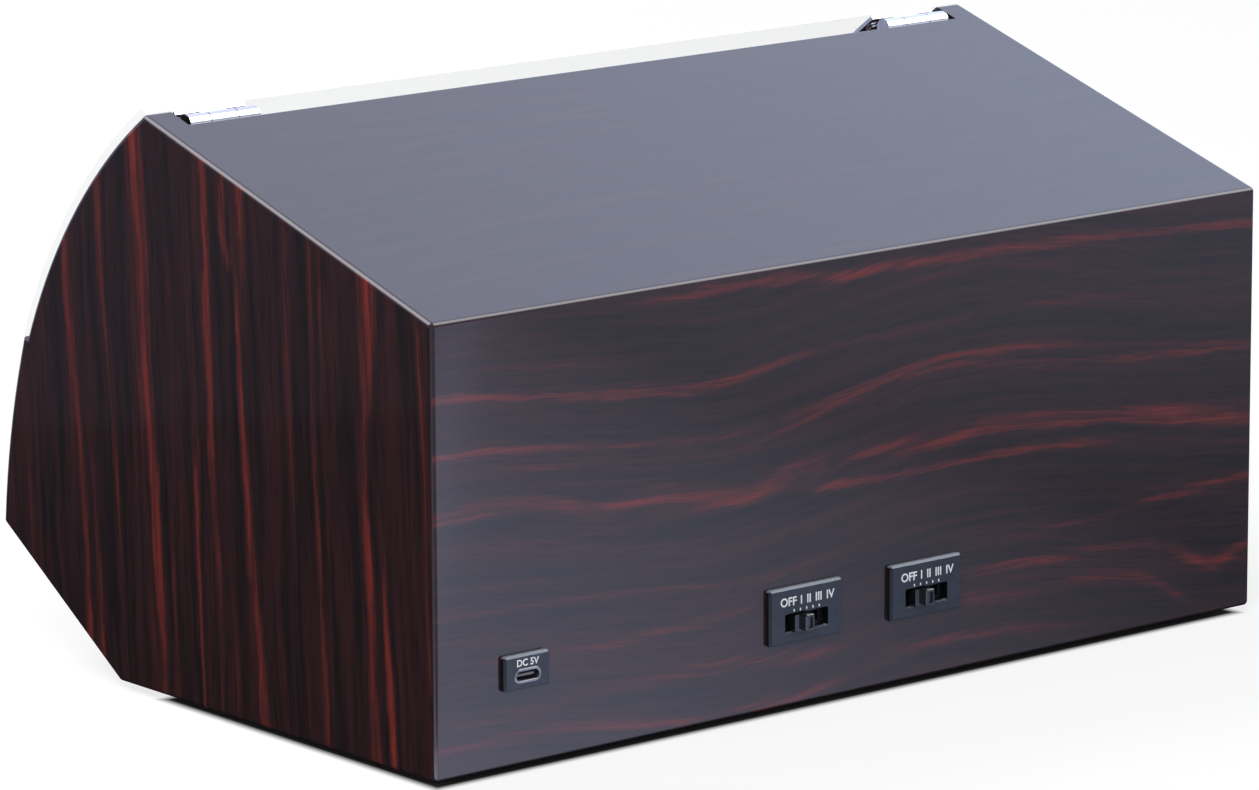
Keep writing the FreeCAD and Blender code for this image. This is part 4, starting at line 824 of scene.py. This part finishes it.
def swell(pad):
    """Blows the pad up as cloth between its two seams, which stay where they are."""
    remesh = pad.modifiers.new("voxels", "REMESH")
    remesh.mode = "VOXEL"
    remesh.voxel_size = PAD_VOXEL
    bpy.ops.object.modifier_apply(modifier=remesh.name)
    rest = [vertex.co.copy() for vertex in pad.data.vertices]
    seam = pad.vertex_groups.new(name="seam")
    held = [vertex.index for vertex in pad.data.vertices if abs(abs(vertex.co.x) - SEAM_X) < SEAM_HOLD]
    seam.add(held, 1.0, "REPLACE")
    cloth = pad.modifiers.new("cloth", "CLOTH")
    cloth.settings.quality = 6
    cloth.settings.mass = 0.15
    cloth.settings.tension_stiffness = 12
    cloth.settings.compression_stiffness = 12
    cloth.settings.bending_stiffness = 0.3
    cloth.settings.use_pressure = True
    cloth.settings.uniform_pressure_force = 4
    cloth.settings.vertex_group_mass = "seam"
    cloth.settings.effector_weights.gravity = 0
    for step in range(1, SWELL_FRAMES + 1):
        bpy.context.scene.frame_set(step)
    bpy.ops.object.modifier_apply(modifier=cloth.name)
    bpy.context.scene.frame_set(1)
    for vertex, before in zip(pad.data.vertices, rest):
        moved = vertex.co - before
        if moved.length > MOST_SWELL:
            vertex.co = before + moved * (MOST_SWELL / moved.length)
    pad.vertex_groups.clear()
    smooth = pad.modifiers.new("smooth", "CORRECTIVE_SMOOTH")
    smooth.iterations = 4
    smooth.use_only_smooth = True
    bpy.ops.object.modifier_apply(modifier=smooth.name)
    finer = pad.modifiers.new("finer", "SUBSURF")
    finer.levels = finer.render_levels = 1
    bpy.ops.object.modifier_apply(modifier=finer.name)
    bpy.ops.object.shade_smooth()
    return pad


def oval(grow):
    """Half length and half height of the seam's oval, grown by a distance."""
    return CUFF_LENGTH / 2 - PAD_SLACK + grow, CUFF_HEIGHT / 2 - PAD_SLACK + grow


def seam_piping():
    """A round cord of the cover's own cloth along both seams."""
    rings = []
    for x in (-SEAM_X, SEAM_X):
        ring = start(bpy.ops.curve.primitive_bezier_circle_add, radius=1, location=(x, 0, CUFF_MIDDLE),
                     rotation=(0, math.pi / 2, 0))
        bpy.ops.object.transform_apply(location=False, rotation=True, scale=False)
        half_length, half_height = oval(PIPING_LIFT)
        ring.scale = (1, half_length, half_height)
        bpy.ops.object.transform_apply(location=True, rotation=True, scale=True)
        ring.data.bevel_depth = PIPING_RADIUS
        ring.data.bevel_resolution = 3
        ring.data.resolution_u = 18
        bpy.ops.object.convert(target="MESH")
        bpy.ops.object.shade_smooth()
        rings.append(bpy.context.object)
    return merge(rings)


def seam_stitches():
    """A row of short threads beside each seam."""
    threads = []
    half_length, half_height = oval(STITCH_LIFT)
    for seam_x in (-SEAM_X, SEAM_X):
        x = seam_x - math.copysign(STITCH_OFF_SEAM, seam_x)
        for step in range(STITCHES):
            angle = 2 * math.pi * step / STITCHES
            y, z = half_length * math.cos(angle), half_height * math.sin(angle)
            lean = math.atan2(half_height * math.cos(angle), -half_length * math.sin(angle))
            thread = start(bpy.ops.mesh.primitive_uv_sphere_add, segments=8, ring_count=6, radius=1,
                           location=(x, y, z + CUFF_MIDDLE), rotation=(lean, 0, 0))
            thread.scale = STITCH_HALF_SIZE
            threads.append(thread)
    row = merge(threads)
    bpy.ops.object.shade_smooth()
    return row


def copy_piece(piece):
    """A copy of a piece with a mesh of its own."""
    twin = piece.copy()
    twin.data = piece.data.copy()
    bpy.context.scene.collection.objects.link(twin)
    return twin


def make_cuffs(finishes, thread):
    """Four padded cuffs, each with its piping and its stitches."""
    models = {"pad": swell(pad_blank()), "piping": seam_piping(), "stitches": seam_stitches()}
    for hand in ("left", "right"):
        to_case = drive_frame(hand)
        middle_x = joint(f"rotor_{hand}_spin")["pos_m"][0]
        for place in ("inner", "outer"):
            node = f"cuff_{hand}_{place}"
            shift = Matrix.Translation(Vector((centre_of(node).x - middle_x, 0, 0)))
            for part, model in models.items():
                finish = thread if part == "stitches" else finishes["cuff_cover"]
                piece = copy_piece(model)
                settle(piece, f"{node}_{part}", node, finish, to_case @ shift)
                if part == "pad":
                    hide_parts(node)
    for model in models.values():
        bpy.data.objects.remove(model)


# Screws

def screw_model():
    """A low domed screw head with a cross recess, facing up from its seat at the origin."""
    head = start(bpy.ops.mesh.primitive_cylinder_add, vertices=36, radius=SCREW_RADIUS, depth=SCREW_HEIGHT,
                 location=(0, 0, SCREW_HEIGHT / 2))
    bpy.ops.object.transform_apply(location=True, rotation=True, scale=True)
    for edge in head.data.edges:
        edge.select = all(head.data.vertices[index].co.z > SCREW_RIM for index in edge.vertices)
    bpy.ops.object.mode_set(mode="EDIT")
    bpy.ops.mesh.select_mode(type="EDGE")
    bpy.ops.mesh.bevel(offset=SCREW_DOME, segments=4, affect="EDGES")
    bpy.ops.object.mode_set(mode="OBJECT")
    for turn in (0, math.pi / 2):
        slot = start(bpy.ops.mesh.primitive_cube_add, size=1, location=(0, 0, SCREW_HEIGHT),
                     rotation=(0, 0, turn))
        slot.scale = RECESS_SIZE
        recess = head.modifiers.new("recess", "BOOLEAN")
        recess.operation = "DIFFERENCE"
        recess.object = slot
        activate(head)
        bpy.ops.object.modifier_apply(modifier=recess.name)
        bpy.data.objects.remove(slot)
    bpy.ops.object.shade_smooth_by_angle(angle=SMOOTH_ANGLE)
    return head


def on_surface(node, origin, direction):
    """Where a line meets a node first, and the surface's normal there."""
    return frame["nodes"][node].ray_cast(origin, direction)[1:3]


def seat_screws(model, name, body, finish, seats):
    """Copies of the screw on their seats, as one piece."""
    copies = []
    for place, normal in seats:
        twin = copy_piece(model)
        turn = normal.to_track_quat("Z", "Y").to_matrix().to_4x4()
        twin.data.transform(Matrix.Translation(place) @ turn)
        copies.append(twin)
    return settle(merge(copies), name, body, finish)


def make_screws(finishes):
    """Screws of the hinges, on the lid and on the top panel's edge."""
    model = screw_model()
    pin = Vector(joint("lid_hinge")["pos_m"])
    low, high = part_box("hinge_moving_leaves")
    leaf_end = Vector((0, low.y, low.z))
    down = (leaf_end - Vector((0, pin.y, pin.z))).normalized()
    out = Vector((0, down.z, -down.y))
    on_lid, on_edge = [], []
    fixed_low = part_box("hinge_fixed_leaves")[0]
    for hand in (-1, 1):
        middle = hand * (high.x - HINGE_LENGTH / 2)
        for step in (-1, 1):
            x = middle + step * SCREW_OFF_MIDDLE
            spot = Vector((x, pin.y, pin.z)) + SCREW_BELOW_PIN * down
            on_lid.append(on_surface("hinge_moving_leaves", spot - LOOK_FROM * out, out))
            ahead = Vector((x, fixed_low.y - LOOK_FROM, fixed_low.z + SCREW_OVER_FOOT))
            on_edge.append(on_surface("hinge_fixed_leaves", ahead, Vector((0, 1, 0))))
    seat_screws(model, "lid_hinge_screws", "lid", finishes["chrome"], on_lid)
    seat_screws(model, "edge_hinge_screws", "case", finishes["chrome"], on_edge)
    bpy.data.objects.remove(model)


# Stage

def make_camera():
    """The photograph's camera."""
    ahead = (CAMERA_TARGET - CAMERA_PLACE).normalized()
    right = ahead.cross(Vector((0, 0, 1))).normalized()
    up = right.cross(ahead)
    c, s = math.cos(CAMERA_ROLL), math.sin(CAMERA_ROLL)
    across, upright = c * right + s * up, c * up - s * right
    lens = bpy.data.cameras.new("camera")
    lens.sensor_width = SENSOR_WIDTH
    lens.lens = SENSOR_WIDTH * FOCAL_PIXELS / IMAGE_WIDTH
    camera = bpy.data.objects.new("camera", lens)
    bpy.context.scene.collection.objects.link(camera)
    turn = Matrix((across, upright, -ahead)).transposed().to_4x4()
    camera.matrix_world = Matrix.Translation(CAMERA_PLACE) @ turn
    bpy.context.scene.camera = camera


def lamp(name, place, target, size, power):
    """A soft square lamp aimed at a point, which the gloss doesn't mirror."""
    light = bpy.data.lights.new(name, "AREA")
    light.shape = "SQUARE"
    light.size = size
    light.energy = power
    holder = bpy.data.objects.new(name, light)
    bpy.context.scene.collection.objects.link(holder)
    holder.visible_glossy = False
    holder.location = place
    holder.rotation_euler = (Vector(target) - Vector(place)).to_track_quat("-Z", "Y").to_euler()


def bare_tree(owner):
    """The node tree of a material or a world, emptied."""
    owner.use_nodes = True
    owner.node_tree.nodes.clear()
    return owner.node_tree


def ray_kinds(tree):
    """Whether a ray comes from the eye, also through glass, and whether it comes from a gloss."""
    rays = add_node(tree, "LightPath").outputs
    seen = calc(tree, "MAXIMUM", rays["Is Camera Ray"], rays["Is Transmission Ray"])
    return seen, rays["Is Glossy Ray"]


def distance_along(tree, x, y, way, origin=(0.0, 0.0)):
    """How far a place on the floor lies beyond an origin, along a level direction."""
    place = calc(tree, "ADD", calc(tree, "MULTIPLY", x, way[0]), calc(tree, "MULTIPLY", y, way[1]))
    return calc(tree, "SUBTRACT", place, way[0] * origin[0] + way[1] * origin[1])


def floor_white(tree, x, y):
    """The white that the floor adds for the eye, which is none under the case."""
    middle_y = (BACK_FACE + BOTTOM_FRONT) / 2
    outside_x = calc(tree, "SUBTRACT", calc(tree, "ABSOLUTE", x), CASE_SIDE)
    off_middle = calc(tree, "ABSOLUTE", calc(tree, "SUBTRACT", y, middle_y))
    outside_y = calc(tree, "SUBTRACT", off_middle, BACK_FACE - middle_y)
    outside = calc(tree, "DIVIDE", calc(tree, "MAXIMUM", outside_x, outside_y), EDGE_SPAN)
    open_floor = ramp(tree, calc(tree, "ADD", outside, UNDER_CASE), WHITE_STOPS)
    return calc(tree, "MULTIPLY", open_floor, WHITE_ADDED)


def back_pool(tree, x, y):
    """The pool of light that the back mirrors: brighter to the right, with a glow at its end there."""
    slant = distance_along(tree, x, y, POOL_WAY)
    pool = calc(tree, "MINIMUM", calc(tree, "MULTIPLY_ADD", slant, POOL_RISE, POOL_LEVEL), POOL_MOST)
    least = calc(tree, "MINIMUM", calc(tree, "MULTIPLY", y, LEAST_RISE), LEAST_FAR)
    pool = calc(tree, "MAXIMUM", pool, calc(tree, "MAXIMUM", least, LEAST_NEAR))
    near = calc(tree, "MINIMUM", calc(tree, "MULTIPLY_ADD", y, NEAR_RISE, NEAR_LEVEL), 1.0)
    leftwards = calc(tree, "MULTIPLY_ADD", x, -LEFT_RISE, LEFT_LEVEL)
    on_left = add_node(tree, "Clamp", {"Value": leftwards}).outputs[0]
    pool = calc(tree, "MULTIPLY", pool, blend(tree, on_left, 1.0, near))
    past = calc(tree, "DIVIDE", distance_along(tree, x, y, CORNER_WAY, REAR_CORNER), CORNER_SPAN)
    glow = ramp(tree, calc(tree, "SUBTRACT", GLOW_START, past), GLOW_STOPS)
    glow = calc(tree, "MULTIPLY", glow, ramp(tree, y, GLOW_OFF_BACK))
    return calc(tree, "MULTIPLY", calc(tree, "ADD", pool, glow), ramp(tree, past, POOL_END))


def floor_shine(tree, x, y):
    """The floor's brightness as the gloss mirrors it."""
    beside = calc(tree, "ABSOLUTE", distance_along(tree, x, y, CORNER_ACROSS, REAR_CORNER))
    strip = ramp(tree, calc(tree, "DIVIDE", beside, CORNER_SPAN), STRIP_STOPS)
    strip = calc(tree, "MULTIPLY", strip, calc(tree, "GREATER_THAN", x, CASE_SIDE))
    off_back = calc(tree, "DIVIDE", calc(tree, "SUBTRACT", y, BACK_FACE), EDGE_SPAN)
    behind = ramp(tree, off_back, BEHIND_STOPS)
    shine = calc(tree, "MULTIPLY", behind, calc(tree, "ADD", back_pool(tree, x, y), strip))
    ahead = calc(tree, "DIVIDE", distance_along(tree, x, y, FRONT_WAY, FRONT_CORNER), -FRONT_SPAN)
    front = calc(tree, "MULTIPLY", calc(tree, "LESS_THAN", y, CASE_FRONT), ramp(tree, ahead, FRONT_STOPS))
    past_table = calc(tree, "SUBTRACT", distance_along(tree, x, y, TABLE_WAY), TABLE_EDGE)
    shine = calc(tree, "MAXIMUM", calc(tree, "MAXIMUM", shine, front), ramp(tree, past_table, TABLE_STOPS))
    return calc(tree, "ADD", shine, LEAST_SHINE)


def make_floor():
    """A pale floor that keeps the shadow, and that shines back brighter behind the case than beside it."""
    floor = start(bpy.ops.mesh.primitive_plane_add, size=FLOOR_SIZE)
    floor.name = "floor"
    finish = bpy.data.materials.new("pale_floor")
    tree = bare_tree(finish)
    x, y = split(tree, add_node(tree, "TexCoord").outputs["Object"])[:2]
    seen, glossy = ray_kinds(tree)
    paint = add_node(tree, "BsdfDiffuse", {"Color": grey(FLOOR_PAINT)})
    shaded = add_node(tree, "BsdfDiffuse", {"Color": grey(SHADE_KEPT * FLOOR_PAINT)})
    white = add_node(tree, "Emission", {"Color": grey(1), "Strength": floor_white(tree, x, y)})
    lit = add_node(tree, "AddShader")
    tree.links.new(shaded.outputs[0], lit.inputs[0])
    tree.links.new(white.outputs[0], lit.inputs[1])
    mirror = add_node(tree, "Emission", {"Color": SHINE_COLOUR, "Strength": floor_shine(tree, x, y)})
    final = mix(tree, glossy, mix(tree, seen, paint, lit), mirror)
    output = add_node(tree, "OutputMaterial")
    tree.links.new(final.outputs[0], output.inputs["Surface"])
    dress(floor, finish)


def towards(tree, direction, centre):
    """How near a direction is to another one, as a cosine."""
    pair = {0: direction, 1: Vector(centre).normalized()}
    return add_node(tree, "VectorMath", pair, operation="DOT_PRODUCT").outputs["Value"]


def window(tree, direction, centre, reach):
    """How far a direction looks into a soft round window of the sky."""
    return ramp(tree, towards(tree, direction, centre), [(reach[0], 0.0), (reach[1], 1.0)])


def make_world():
    """White to the eye, a soft fill for the surfaces, and a broad pale sky for the gloss."""
    world = bpy.data.worlds.new("studio")
    bpy.context.scene.world = world
    tree = bare_tree(world)
    seen, glossy = ray_kinds(tree)
    direction = add_node(tree, "TexCoord").outputs["Generated"]
    sky = ramp(tree, towards(tree, direction, SKY_MIDDLE), SKY_STOPS)
    far_side = calc(tree, "MULTIPLY", split(tree, direction)[0], -1.0)
    sky = tint(tree, 1.0, sky, ramp(tree, far_side, SKY_COLOURS), "MULTIPLY")
    for centre, reach, light in SKY_WINDOWS:
        sky = tint(tree, window(tree, direction, centre, reach), sky, light)
    fill = add_node(tree, "Background", {"Color": grey(1), "Strength": FILL_LIGHT})
    shine = add_node(tree, "Background", {"Color": sky, "Strength": SKY_LIGHT})
    white = add_node(tree, "Background", {"Color": grey(1), "Strength": 1.0})
    final = mix(tree, seen, mix(tree, glossy, fill, shine), white)
    output = add_node(tree, "OutputWorld")
    tree.links.new(final.outputs[0], output.inputs["Surface"])


def make_stage():
    """Floor, world, lamps and camera."""
    make_floor()
    make_world()
    for name, place, size, power in LAMPS:
        lamp(name, place, LAMP_TARGET, size, power)
    make_camera()
    bpy.context.scene.view_settings.view_transform = "Standard"


finishes = make_finishes()
print_ink = moulded("white_print", srgb(214, 220, 228), srgb(232, 236, 240),
                    rough=(0.4, 0.6), grain=1200.0, bumps=0.03)
thread = moulded("cream_thread", srgb(226, 214, 190), srgb(242, 234, 214),
                 rough=(0.6, 0.8), grain=2500.0, bumps=0.3)
knob_gloss = moulded("knob_gloss", srgb(10, 11, 12), srgb(18, 19, 21),
                     rough=(0.1, 0.2), grain=900.0, bumps=0.02, Specular_IOR_Level=0.9)
port_tongue = moulded("port_tongue", srgb(104, 106, 114), srgb(126, 128, 136),
                      rough=(0.35, 0.5), grain=1500.0, bumps=0.03)
rim_metal = brushed("rim_metal", (0.2, 0.2, 0.21), (0.3, 0.3, 0.31),
                    rough=(0.3, 0.45), scale=(900.0, 900.0, 900.0))
dress_nodes(finishes)
for hand in ("left", "right"):
    frame["nodes"][f"switch_knob_{hand}"].material_slots[0].material = knob_gloss
frame["nodes"]["inlet_tongue"].material_slots[0].material = port_tongue
make_labels(print_ink)
make_port_rim(rim_metal)
make_cuffs(finishes, thread)
make_screws(finishes)
make_stage()
